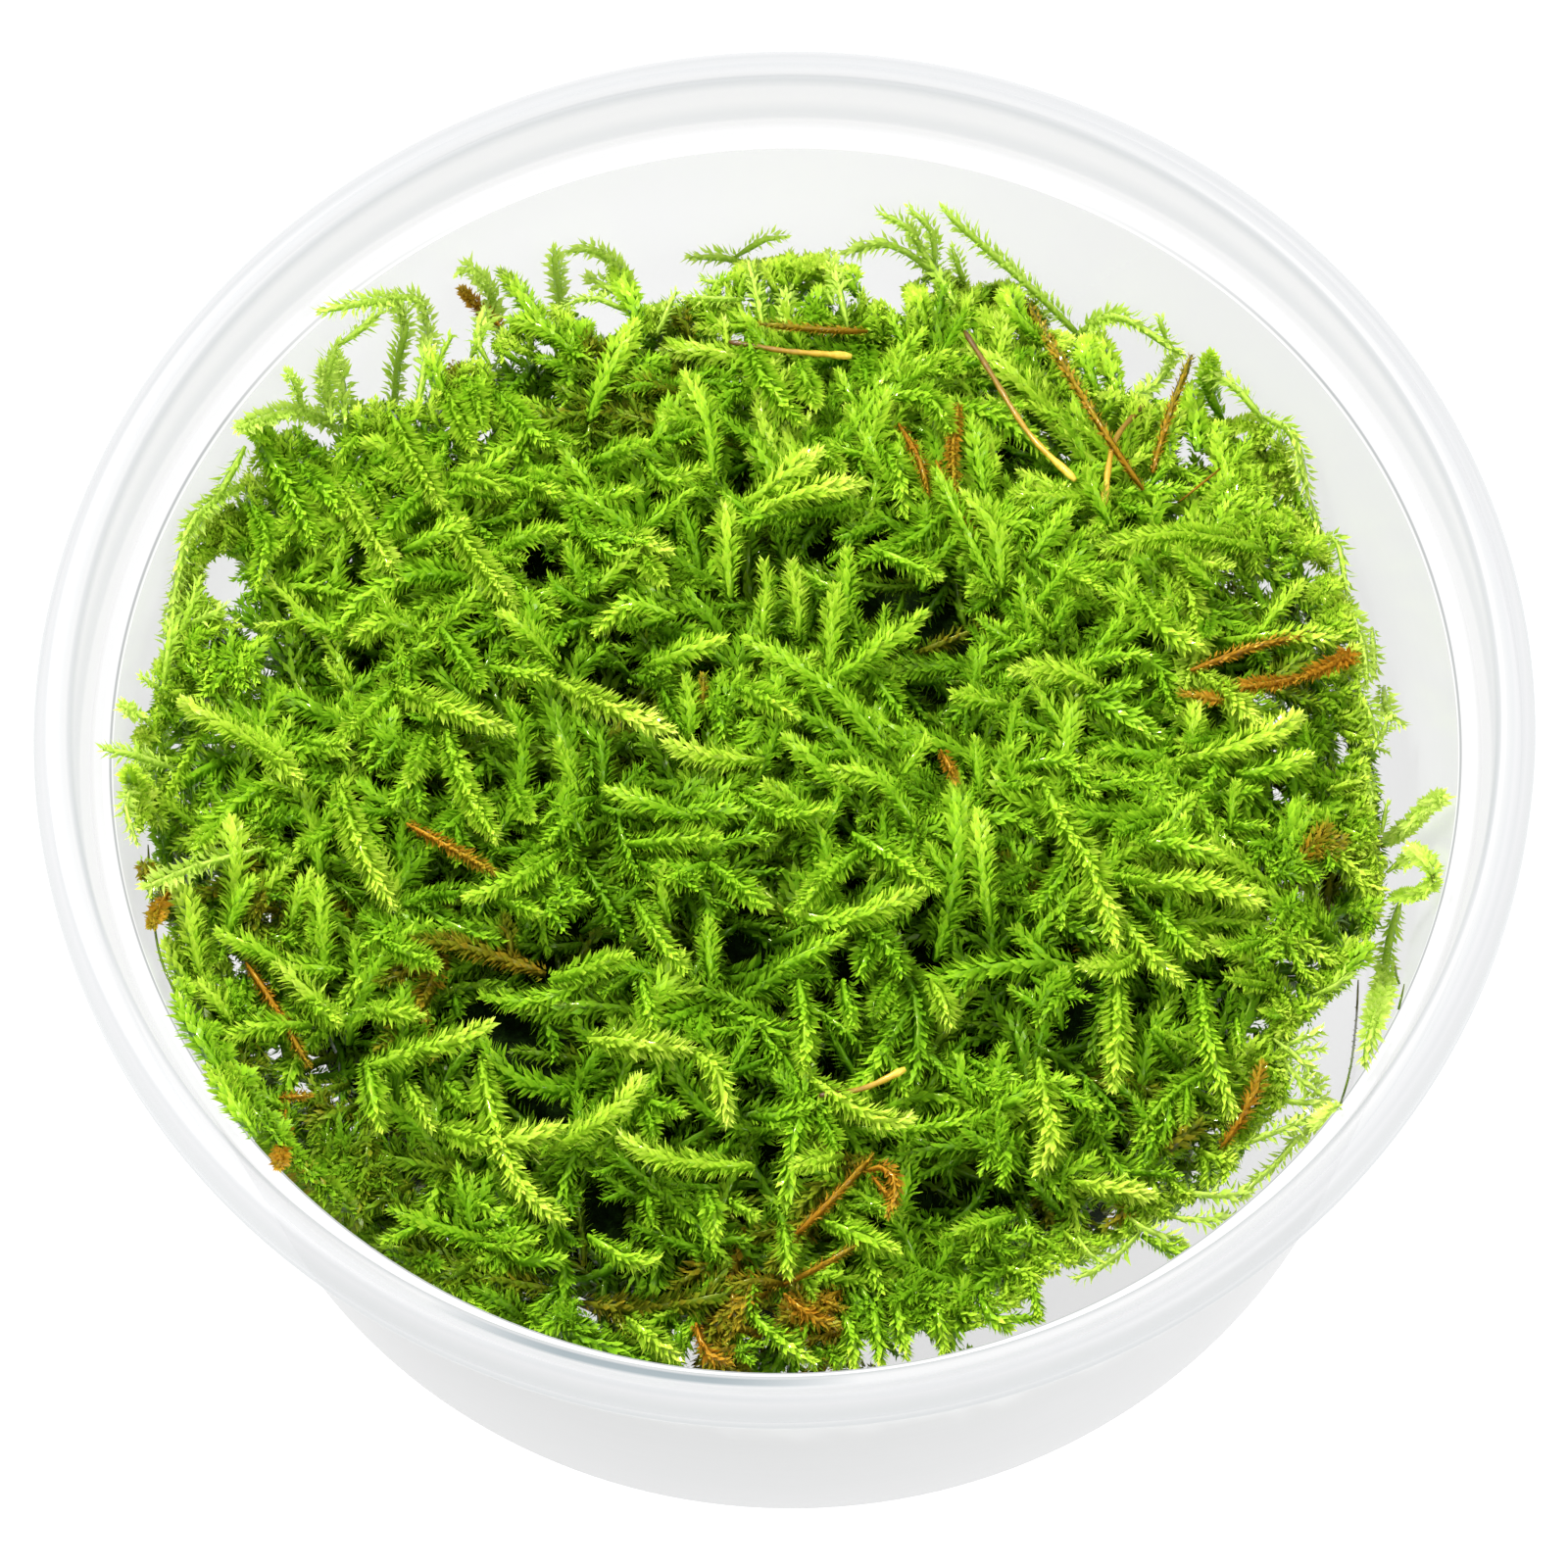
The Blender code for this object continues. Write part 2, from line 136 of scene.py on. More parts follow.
def new_material(name: str) -> tuple[bpy.types.Material, bpy.types.NodeTree]:
    """Makes an empty node material.

    Args:
        name: The material's name.

    Returns:
        The material and its node tree.
    """
    made = bpy.data.materials.new(name)
    made.use_nodes = True
    made.node_tree.nodes.clear()
    return made, made.node_tree


@dataclass(frozen=True)
class LeafFinish:
    """Wet living moss leaf: one cell thick, so light passes through it, with a film of water.

    The chart of colours is read from the leaf's own UV map: across it runs the leaf's age, from
    dead brown to young yellow green, raised near the rim as painted light, and up it runs the way
    from the leaf's foot to its tip, scaled down as painted shade on shoots deep in the cushion.
    """

    name: str = "wet_moss_leaf"
    feet: tuple[tuple[float, str], ...] = (
        (0.00, "7A4A0A"), (0.12, "96640E"), (0.28, "62600C"), (0.40, "46680A"), (0.56, "4A820A"),
        (0.72, "64A80C"), (0.86, "8ABE12"), (1.00, "A8CC1C"),
    )
    tips: tuple[tuple[float, str], ...] = (
        (0.00, "C8861E"), (0.12, "DCA832"), (0.28, "B0AA2C"), (0.40, "90AC26"), (0.56, "96C828"),
        (0.72, "BAE234"), (0.86, "D6EE4E"), (1.00, "E6F470"),
    )
    roughness: float = 0.3
    shine: float = 0.5
    shine_tint: str = "FFFF80"
    wet: float = 0.9
    wet_spot: float = 0.5
    wet_share: tuple[float, float] = (0.52, 0.6)
    wet_roughness: float = 0.08
    glow: float = 0.38
    # Emission strength: a painted glow, as if the leaves were lit through from all sides.
    painted_glow: float = 0.0

    def build(self) -> bpy.types.Material:
        """Makes the leaf material.

        Returns:
            The material.
        """
        made, tree = new_material(self.name)
        chart = add_node(tree, "ShaderNodeUVMap", {"uv_map": "OFBake"})
        split = add_node(tree, "ShaderNodeSeparateXYZ", links={0: chart.outputs[0]})
        foot, tip = (
            add_node(tree, "ShaderNodeValToRGB", links={0: split.outputs[0]}, stops=stops)
            for stops in (self.feet, self.tips)
        )
        colour = add_node(
            tree, "ShaderNodeMix", {"data_type": "RGBA"},
            links={0: split.outputs[1], 6: foot.outputs[0], 7: tip.outputs[0]},
        )
        place = add_node(tree, "ShaderNodeTexCoord")
        drops = add_node(
            tree, "ShaderNodeTexNoise", values={"Scale": 1 / (self.wet_spot * MM), "Detail": 1.0},
            links={"Vector": place.outputs["Object"]},
        )
        film = add_node(
            tree, "ShaderNodeMapRange",
            values={
                "From Min": self.wet_share[0], "From Max": self.wet_share[1], "To Max": self.wet,
            },
            links={0: drops.outputs["Fac"]},
        )
        skin = add_node(
            tree, "ShaderNodeBsdfPrincipled",
            values={
                "Roughness": self.roughness, "IOR": 1.42, "Specular IOR Level": self.shine,
                "Specular Tint": linear(self.shine_tint), "Coat Roughness": self.wet_roughness,
                "Emission Strength": self.painted_glow,
            },
            links={
                "Base Color": colour.outputs[2], "Coat Weight": film.outputs[0],
                "Emission Color": colour.outputs[2],
            },
        )
        through = add_node(tree, "ShaderNodeBsdfTranslucent", links={"Color": colour.outputs[2]})
        both = add_node(
            tree, "ShaderNodeMixShader", values={0: self.glow},
            links={1: skin.outputs[0], 2: through.outputs[0]},
        )
        add_node(tree, "ShaderNodeOutputMaterial", links={0: both.outputs[0]})
        return made


YOUNG_FEET = (
    (0.00, "7A4A0A"), (0.30, "7C7A1C"), (0.70, "6E9C12"), (0.86, "84B41A"), (1.00, "9CC42C"),
)
YOUNG_TIPS = (
    (0.00, "C8861E"), (0.30, "C0B050"), (0.70, "B8DC44"), (0.86, "C8E456"), (1.00, "DCEE7C"),
)


@dataclass(frozen=True)
class HeartFinish:
    """Heart of the cushion: matted old stems, painted nearly black as the shade deep inside it."""

    name: str = "matted_old_moss_painted_shade"
    dark: str = "060C02"
    mid: str = "101F05"
    pale: str = "22370A"
    stem_width: float = 0.7

    def build(self) -> bpy.types.Material:
        """Makes the material of the cushion's heart.

        Returns:
            The material.
        """
        made, tree = new_material(self.name)
        place = add_node(tree, "ShaderNodeTexCoord")
        strands = add_node(
            tree, "ShaderNodeTexNoise",
            values={
                "Scale": 1 / (self.stem_width * 2.2 * MM), "Detail": 5.0, "Roughness": 0.65,
                "Distortion": 2.2,
            },
            links={"Vector": place.outputs["Object"]},
        )
        colour = add_node(
            tree, "ShaderNodeValToRGB", links={0: strands.outputs["Fac"]},
            stops=((0.32, self.dark), (0.52, self.mid), (0.72, self.pale)),
        )
        relief = add_node(
            tree, "ShaderNodeBump", values={"Strength": 0.9, "Distance": 0.6 * MM},
            links={"Height": strands.outputs["Fac"]},
        )
        skin = add_node(
            tree, "ShaderNodeBsdfPrincipled",
            values={"Roughness": 0.8, "IOR": 1.4, "Specular IOR Level": 0.05},
            links={"Base Color": colour.outputs[0], "Normal": relief.outputs[0]},
        )
        add_node(tree, "ShaderNodeOutputMaterial", links={0: skin.outputs[0]})
        return made


@dataclass(frozen=True)
class DeadStemFinish:
    """Dead moss stem: dry orange brown bark, ridged lengthwise, darker at its root."""

    name: str = "dead_moss_stem"
    stops: tuple[tuple[float, str], ...] = (
        (0.0, "4E360A"), (0.45, "8A6C12"), (0.8, "B8941E"), (1.0, "D4B63C"),
    )
    ridge: float = 0.22

    def build(self) -> bpy.types.Material:
        """Makes the dead stem material.

        Returns:
            The material.
        """
        made, tree = new_material(self.name)
        chart = add_node(tree, "ShaderNodeUVMap", {"uv_map": "OFBake"})
        split = add_node(tree, "ShaderNodeSeparateXYZ", links={0: chart.outputs[0]})
        place = add_node(tree, "ShaderNodeTexCoord")
        bark = add_node(
            tree, "ShaderNodeTexNoise", values={"Scale": 1 / (self.ridge * 2 * MM), "Detail": 3.0},
            links={"Vector": place.outputs["Object"]},
        )
        tone = add_node(
            tree, "ShaderNodeMath", {"operation": "MULTIPLY_ADD"}, values={1: 0.5},
            links={0: bark.outputs["Fac"], 2: split.outputs[0]},
        )
        shifted = add_node(
            tree, "ShaderNodeMath", {"operation": "SUBTRACT"}, values={1: 0.25},
            links={0: tone.outputs[0]},
        )
        colour = add_node(
            tree, "ShaderNodeValToRGB", links={0: shifted.outputs[0]}, stops=self.stops
        )
        relief = add_node(
            tree, "ShaderNodeBump", values={"Strength": 0.6, "Distance": 0.1 * MM},
            links={"Height": bark.outputs["Fac"]},
        )
        skin = add_node(
            tree, "ShaderNodeBsdfPrincipled",
            values={"Roughness": 0.5, "IOR": 1.45, "Coat Weight": 0.2},
            links={"Base Color": colour.outputs[0], "Normal": relief.outputs[0]},
        )
        add_node(tree, "ShaderNodeOutputMaterial", links={0: skin.outputs[0]})
        return made


@dataclass(frozen=True)
class CupFinish:
    """Milky polypropylene, injection moulded thin: it has a painted glow, and shows things behind
    it faintly.

    Seen at a slant more of the milky plastic is in the way, so less shows through it. Thin grey
    lines of painted shade follow its moulded edges, where the plastic turns and bends the light
    away, and a blue grey streak on the rim is a painted reflection. The tables give the plastic's
    painted tone, and its milkiness, by length in millimetres.
    """

    name: str = "milky_polypropylene"
    body: str = "B4B5B6"
    inside: str = "C1C1C2"
    tint: str = "FCFCFC"
    clear_facing: float = 0.5
    clear_slant: float = 0.05
    slant_from: float = 0.42
    slant_to: float = 0.74
    glow: float = 0.4
    # Painted glow of the rim and the outside of the wall.
    outer_painted_glow: float = 0.5
    roughness: float = 0.3
    ior: float = 1.49
    flow: float = 14.0

    # By radius above the ledge: painted grey lines of shade at the rim's inner edge and its
    # moulding rings.
    rim_height: float = 38.4
    painted_ring_lines: tuple[tuple[float, str], ...] = (
        (45.40, "F3F3F3"), (47.70, "F5F5F5"), (47.86, "E2E4E5"), (48.02, "E2E4E5"),
        (48.25, "F3F3F3"), (48.95, "EDEEEF"), (49.15, "F1F1F2"), (49.60, "EAEBEC"),
        (49.85, "EFEFF0"), (50.60, "EAEBEB"),
    )

    # By radius above the ledge: how milky it looks, from clear (black) to solid (white).
    milkiness: tuple[tuple[float, str], ...] = (
        (45.40, "F9F9F9"), (46.70, "F4F4F4"), (47.00, "A0A0A0"), (47.70, "A0A0A0"),
        (48.20, "CBCBCB"), (50.60, "CBCBCB"),
    )

    # The rim is so thick and milky that it looks almost evenly light: its diffuse share is cut,
    # and a painted glow lights it.
    rim_share: float = 0.2
    rim_painted_glow: float = 1.78

    # The inner wall has a painted glow, as if evenly lit from outside, most of all at the back.
    inner_share: float = 0.44
    inner_painted_glow: float = 1.0
    inner_lean: tuple[float, float, float] = (-0.03, 0.23, 0.0)

    # By radius, all round except at the back: a painted grey line of shade at the ledge's inner
    # edge.
    ledge_painted_line: tuple[tuple[float, str], ...] = (
        (45.40, "FFFFFF"), (45.58, "FFFFFF"), (45.64, "BFC1C2"), (45.72, "BFC1C2"),
        (45.80, "FFFFFF"),
    )
    line_fade: tuple[float, float] = (0.55, 0.95)

    # By height on the outside of the rim: painted light and shade, a bright lip, grey skirt and
    # white shoulder.
    skirt_radius: float = 49.9
    painted_skirt_shade: tuple[tuple[float, str], ...] = (
        (41.00, "FFFFFF"), (41.50, "FFFFFF"), (41.62, "EEF0F1"), (42.30, "F4F5F6"),
        (42.50, "FCFCFC"), (42.70, "F4F5F6"), (43.60, "FAFBFB"), (44.40, "FFFFFF"),
    )

    # By height on the outside of the wall, which is a cone: painted shade, darker towards the top.
    wall_radius: float = 41.2
    wall_slope: float = 0.1285
    wall: tuple[tuple[float, str], ...] = (
        (0.0, "F6F6F6"), (8.0, "F4F4F4"), (22.0, "F2F2F2"), (37.0, "ECECEC"), (38.4, "F6F6F6"),
    )

    # By radius: a painted reflection, a blue grey streak on the rim's inner edge at the front
    # left.
    streak_way: tuple[float, float, float] = (-0.24, -0.971, 0.0)
    streak_span: tuple[float, float] = (0.955, 0.995)
    painted_reflection_streak: tuple[tuple[float, str], ...] = (
        (48.05, "FFFFFF"), (48.20, "B4C0C5"), (48.55, "B4C0C5"), (48.75, "FFFFFF"),
    )

    @staticmethod
    def scale(
        tree: bpy.types.NodeTree,
        length: bpy.types.NodeSocket,
        table: tuple[tuple[float, str], ...],
    ) -> bpy.types.NodeSocket:
        """Adds a ramp whose stops are in millimetres.

        Args:
            tree: The node tree that takes the ramp.
            length: A length in metres.
            table: Millimetres and sRGB hex colour of each stop, in rising order.

        Returns:
            The ramp's colour.
        """
        low, high = table[0][0], table[-1][0]
        share = add_node(
            tree, "ShaderNodeMapRange", values={"From Min": low * MM, "From Max": high * MM},
            links={0: length},
        )
        made = add_node(
            tree, "ShaderNodeValToRGB", links={0: share.outputs[0]},
            stops=tuple(((mm - low) / (high - low), tone) for mm, tone in table),
        )
        return made.outputs[0]

    def tone(
        self, tree: bpy.types.NodeTree, place: bpy.types.NodeSocket
    ) -> dict[str, bpy.types.NodeSocket]:
        """Adds the painted lines, rings and shade of the moulded form, and its painted reflection.

        Args:
            tree: The node tree that takes them.
            place: Object coordinates.

        Returns:
            By name: the painted light and shade that multiply the plastic's colour, its milkiness
                above
            the ledge, where the rim and the outside of the wall are, and the way from the axis.
        """
        split = add_node(tree, "ShaderNodeSeparateXYZ", links={0: place})
        height = split.outputs[2]
        flat = add_node(
            tree, "ShaderNodeVectorMath", {"operation": "MULTIPLY"}, values={1: (1.0, 1.0, 0.0)},
            links={0: place},
        )
        length = add_node(
            tree, "ShaderNodeVectorMath", {"operation": "LENGTH"}, links={0: flat.outputs[0]}
        )
        radius = length.outputs["Value"]
        way = add_node(
            tree, "ShaderNodeVectorMath", {"operation": "NORMALIZE"}, links={0: flat.outputs[0]}
        )
        rim = add_node(
            tree, "ShaderNodeMath", {"operation": "GREATER_THAN"},
            values={1: self.rim_height * MM}, links={0: height},
        )
        backward = add_node(tree, "ShaderNodeSeparateXYZ", links={0: way.outputs[0]})
        in_front = add_node(
            tree, "ShaderNodeMapRange",
            values={
                "From Min": self.line_fade[0], "From Max": self.line_fade[1], "To Min": 1.0,
                "To Max": 0.0,
            },
            links={0: backward.outputs[1]},
        )
        line = add_node(
            tree, "ShaderNodeMath", {"operation": "MULTIPLY"},
            links={0: in_front.outputs[0], 1: rim.outputs[0]},
        )
        painted_skirt_shade = add_node(
            tree, "ShaderNodeMath", {"operation": "GREATER_THAN"},
            values={1: self.skirt_radius * MM}, links={0: radius},
        )
        foot = add_node(
            tree, "ShaderNodeMath", {"operation": "MULTIPLY_ADD"}, values={1: -self.wall_slope},
            links={0: height, 2: radius},
        )
        wall = add_node(
            tree, "ShaderNodeMath", {"operation": "GREATER_THAN"},
            values={1: self.wall_radius * MM}, links={0: foot.outputs[0]},
        )
        towards = add_node(
            tree, "ShaderNodeVectorMath", {"operation": "DOT_PRODUCT"},
            values={1: self.streak_way}, links={0: way.outputs[0]},
        )
        near = add_node(
            tree, "ShaderNodeMapRange",
            values={"From Min": self.streak_span[0], "From Max": self.streak_span[1]},
            links={0: towards.outputs["Value"]},
        )
        painted_reflection_streak = add_node(
            tree, "ShaderNodeMath", {"operation": "MULTIPLY"},
            links={0: near.outputs[0], 1: rim.outputs[0]},
        )
        # Painted lines and painted shade, and the streak's painted reflection, multiplied into one
        # tone.
        layers = (
            (line, radius, self.ledge_painted_line),
            (painted_skirt_shade, height, self.painted_skirt_shade),
            (wall, height, self.wall),
            (painted_reflection_streak, radius, self.painted_reflection_streak),
            (rim, radius, self.painted_ring_lines),
        )
        tone = None
        for share, along, table in layers:
            under = {} if tone is None else {6: tone.outputs[2]}
            tone = add_node(
                tree, "ShaderNodeMix", {"data_type": "RGBA", "blend_type": "MULTIPLY"},
                values={6: (1.0, 1.0, 1.0, 1.0)},
                links={0: share.outputs[0], 7: self.scale(tree, along, table), **under},
            )
        return {
            "tone": tone.outputs[2],
            "milkiness": self.scale(tree, radius, self.milkiness),
            "rim": rim.outputs[0],
            "wall": wall.outputs[0],
            "way": way.outputs[0],
        }

    def build(self) -> bpy.types.Material:
        """Makes the cup's plastic.

        Returns:
            The material.
        """
        made, tree = new_material(self.name)
        place = add_node(tree, "ShaderNodeTexCoord").outputs["Object"]
        long_way = add_node(
            tree, "ShaderNodeMapping", values={"Scale": (1.0, 1.0, 5.0)}, links={"Vector": place},
        )
        flow = add_node(
            tree, "ShaderNodeTexNoise",
            values={"Scale": 1 / (self.flow * MM), "Detail": 3.0, "Roughness": 0.55},
            links={"Vector": long_way.outputs[0]},
        )
        relief = add_node(
            tree, "ShaderNodeBump", values={"Strength": 0.2, "Distance": 0.2 * MM},
            links={"Height": flow.outputs["Fac"]},
        )
        form = self.tone(tree, place)
        outside = add_node(
            tree, "ShaderNodeMath", {"operation": "MAXIMUM"},
            links={0: form["rim"], 1: form["wall"]},
        )
        lean = add_node(
            tree, "ShaderNodeVectorMath", {"operation": "DOT_PRODUCT"},
            values={1: self.inner_lean}, links={0: form["way"]},
        )
        inner_painted_glow = add_node(
            tree, "ShaderNodeMath", {"operation": "ADD"}, values={1: self.inner_painted_glow},
            links={0: lean.outputs["Value"]},
        )
        # Painted glow: how strongly the inner wall, the rim and the outside of the wall give off
        # light.
        light = add_node(
            tree, "ShaderNodeMix", values={3: self.outer_painted_glow},
            links={0: outside.outputs[0], 2: inner_painted_glow.outputs[0]},
        )
        shade = add_node(
            tree, "ShaderNodeMix", values={2: self.inner_share, 3: 1.0},
            links={0: outside.outputs[0]},
        )
        rim_painted_glow = add_node(
            tree, "ShaderNodeMix", values={3: self.rim_painted_glow},
            links={0: form["rim"], 2: light.outputs[0]},
        )
        rim_shade = add_node(
            tree, "ShaderNodeMix", values={3: self.rim_share},
            links={0: form["rim"], 2: shade.outputs[0]},
        )
        shaded = add_node(
            tree, "ShaderNodeVectorMath", {"operation": "SCALE"},
            links={0: form["tone"], "Scale": rim_shade.outputs[0]},
        )
        body, inside, tint = (
            add_node(
                tree, "ShaderNodeMix", {"data_type": "RGBA", "blend_type": "MULTIPLY"},
                values={0: 1.0, 6: linear(colour)}, links={7: tone},
            ).outputs[2]
            for colour, tone in (
                (self.body, shaded.outputs[0]),
                (self.inside, shaded.outputs[0]),
                (self.tint, form["tone"]),
            )
        )
        # The skin gives off the painted glow, tinted by the painted lines.
        skin = add_node(
            tree, "ShaderNodeBsdfPrincipled",
            values={"Roughness": self.roughness, "IOR": self.ior},
            links={
                "Base Color": body, "Emission Color": form["tone"],
                "Emission Strength": rim_painted_glow.outputs[0], "Normal": relief.outputs[0],
            },
        )
        milk = add_node(tree, "ShaderNodeBsdfTranslucent", links={"Color": inside})
        solid = add_node(
            tree, "ShaderNodeMixShader", values={0: self.glow},
            links={1: skin.outputs[0], 2: milk.outputs[0]},
        )
        clear = add_node(tree, "ShaderNodeBsdfTransparent", links={"Color": tint})
        slant = add_node(tree, "ShaderNodeLayerWeight", values={"Blend": 0.5})
        by_slant = add_node(
            tree, "ShaderNodeMapRange",
            values={
                "From Min": self.slant_from, "From Max": self.slant_to,
                "To Min": 1 - self.clear_facing, "To Max": 1 - self.clear_slant,
            },
            links={0: slant.outputs["Facing"]},
        )
        share = add_node(
            tree, "ShaderNodeMix",
            links={0: form["rim"], 2: by_slant.outputs[0], 3: form["milkiness"]},
        )
        both = add_node(
            tree, "ShaderNodeMixShader",
            links={0: share.outputs[0], 1: clear.outputs[0], 2: solid.outputs[0]},
        )
        add_node(tree, "ShaderNodeOutputMaterial", links={0: both.outputs[0]})
        return made


@dataclass(frozen=True)
class FloorFinish:
    """White light table: matt, and bright enough that it shows no shadow."""

    name: str = "white_light_table"
    body: str = "F4F4F4"
    glow: float = 1.3
    share: float = 0.1

    def build(self) -> bpy.types.Material:
        """Makes the floor's material.

        Returns:
            The material.
        """
        made, tree = new_material(self.name)
        matt = add_node(tree, "ShaderNodeBsdfDiffuse", values={"Color": linear(self.body)})
        light = add_node(tree, "ShaderNodeEmission", values={"Strength": self.glow})
        both = add_node(
            tree, "ShaderNodeMixShader", values={0: 1 - self.share},
            links={1: matt.outputs[0], 2: light.outputs[0]},
        )
        add_node(tree, "ShaderNodeOutputMaterial", links={0: both.outputs[0]})
        return made


@dataclass(frozen=True)
class PhotoCamera:
    """The photograph's camera, fitted to the ellipses of the cup's rim, ledge and foot."""

    elevation: float = math.radians(65.8)
    roll: float = math.radians(-2.84)
    distance: float = 600.0
    focal: float = 8945.0
    aim: tuple[float, float, float] = (-0.19, 0.0, 31.45)
    image: float = 1600.0
    sensor: float = 36.0

    def axes(self) -> np.ndarray:
        """Gives the camera's right, up and backward directions.

        Returns:
            Three rows, one for each direction.
        """
        back = np.array([0.0, -math.cos(self.elevation), math.sin(self.elevation)])
        across = np.array([1.0, 0.0, 0.0])
        upward = np.array([0.0, math.sin(self.elevation), math.cos(self.elevation)])
        turn, rise = math.cos(self.roll), math.sin(self.roll)
        return np.array([turn * across + rise * upward, turn * upward - rise * across, back])

    def eye(self) -> np.ndarray:
        """Gives the camera's place."""
        return np.array(self.aim) + self.distance * self.axes()[2]

    def ray(self, pixel: Pixel) -> np.ndarray:
        """Gives the direction of sight through a pixel of the photograph.

        Args:
            pixel: Place in the 1600 by 1600 picture.

        Returns:
            A direction of length one.
        """
        right, upward, back = self.axes()
        half = self.image / 2
        across, rise = (pixel[0] - half) / self.focal, (half - pixel[1]) / self.focal
        return unit(across * right + rise * upward - back)

    def pixels(self, points: np.ndarray) -> np.ndarray:
        """Finds where points show in the photograph.

        Args:
            points: One point in each row, in millimetres.

        Returns:
            One pixel in each row.
        """
        right, upward, back = self.axes()
        away = points - self.eye()
        scale = self.focal / -(away @ back)
        half = self.image / 2
        return np.column_stack([half + scale * (away @ right), half - scale * (away @ upward)])

    def build(self) -> None:
        """Adds the camera to the scene."""
        right, upward, back = self.axes()
        bpy.ops.object.camera_add()
        made = bpy.context.object
        made.name = "photo_camera"
        made.data.sensor_width = self.sensor
        made.data.lens = self.focal / self.image * self.sensor
        made.data.clip_start, made.data.clip_end = 0.05, 5.0
        turn = Matrix([[right[i], upward[i], back[i]] for i in range(3)]).to_4x4()
        made.matrix_world = Matrix.Translation(Vector(self.eye()) * MM) @ turn
        bpy.context.scene.camera = made


@dataclass(frozen=True)
class Studio:
    """Soft bright studio: a large lamp high at the back left, a fill at the right, a pale room."""

    room: float = 1.12
    key_size: float = 0.2
    key_place: tuple[float, float, float] = (-0.3, 0.36, 0.8)
    key_watts: float = 13.0
    fill_size: float = 0.5
    fill_place: tuple[float, float, float] = (0.6, -0.5, 0.7)
    fill_watts: float = 4.5
    floor_size: float = 6.0
    bounces: int = 4
    soft_bounces: int = 2

    def lamp(
        self, name: str, size: float, place: tuple[float, float, float], watts: float
    ) -> None:
        """Adds a square lamp that points at the moss.

        Args:
            name: The lamp's name.
            size: Its side in metres.
            place: Where it hangs.
            watts: Its power.
        """
        bpy.ops.object.light_add(type="AREA", location=place)
        made = bpy.context.object
        made.name = name
        made.data.size = size
        made.data.energy = watts
        aim = Vector((0.0, 0.0, 0.03)) - Vector(place)
        made.rotation_mode = "QUATERNION"
        made.rotation_quaternion = aim.to_track_quat("-Z", "Y")

    def build(self) -> None:
        """Adds the room, the lamps and the floor."""
        scene = bpy.context.scene
        scene.view_settings.view_transform = "Standard"
        scene.cycles.use_light_tree = False
        scene.cycles.max_bounces = self.bounces
        scene.cycles.transmission_bounces = self.bounces
        scene.cycles.diffuse_bounces = self.soft_bounces
        scene.cycles.glossy_bounces = self.soft_bounces
        scene.cycles.caustics_reflective = False
        scene.cycles.caustics_refractive = False
        world = bpy.data.worlds.new("pale_room")
        world.use_nodes = True
        world.node_tree.nodes["Background"].inputs["Color"].default_value = (1, 1, 1, 1)
        world.node_tree.nodes["Background"].inputs["Strength"].default_value = self.room
        scene.world = world
        self.lamp("key_lamp", self.key_size, self.key_place, self.key_watts)
        self.lamp("fill_lamp", self.fill_size, self.fill_place, self.fill_watts)
        select_nothing()
        bpy.ops.mesh.primitive_plane_add(size=self.floor_size, location=(0, 0, -0.0002))
        floor = bpy.context.object
        floor.name = "floor"
        floor.data.transform(floor.matrix_world)
        floor.matrix_world = Matrix.Identity(4)
        floor.data.materials.append(FloorFinish().build())


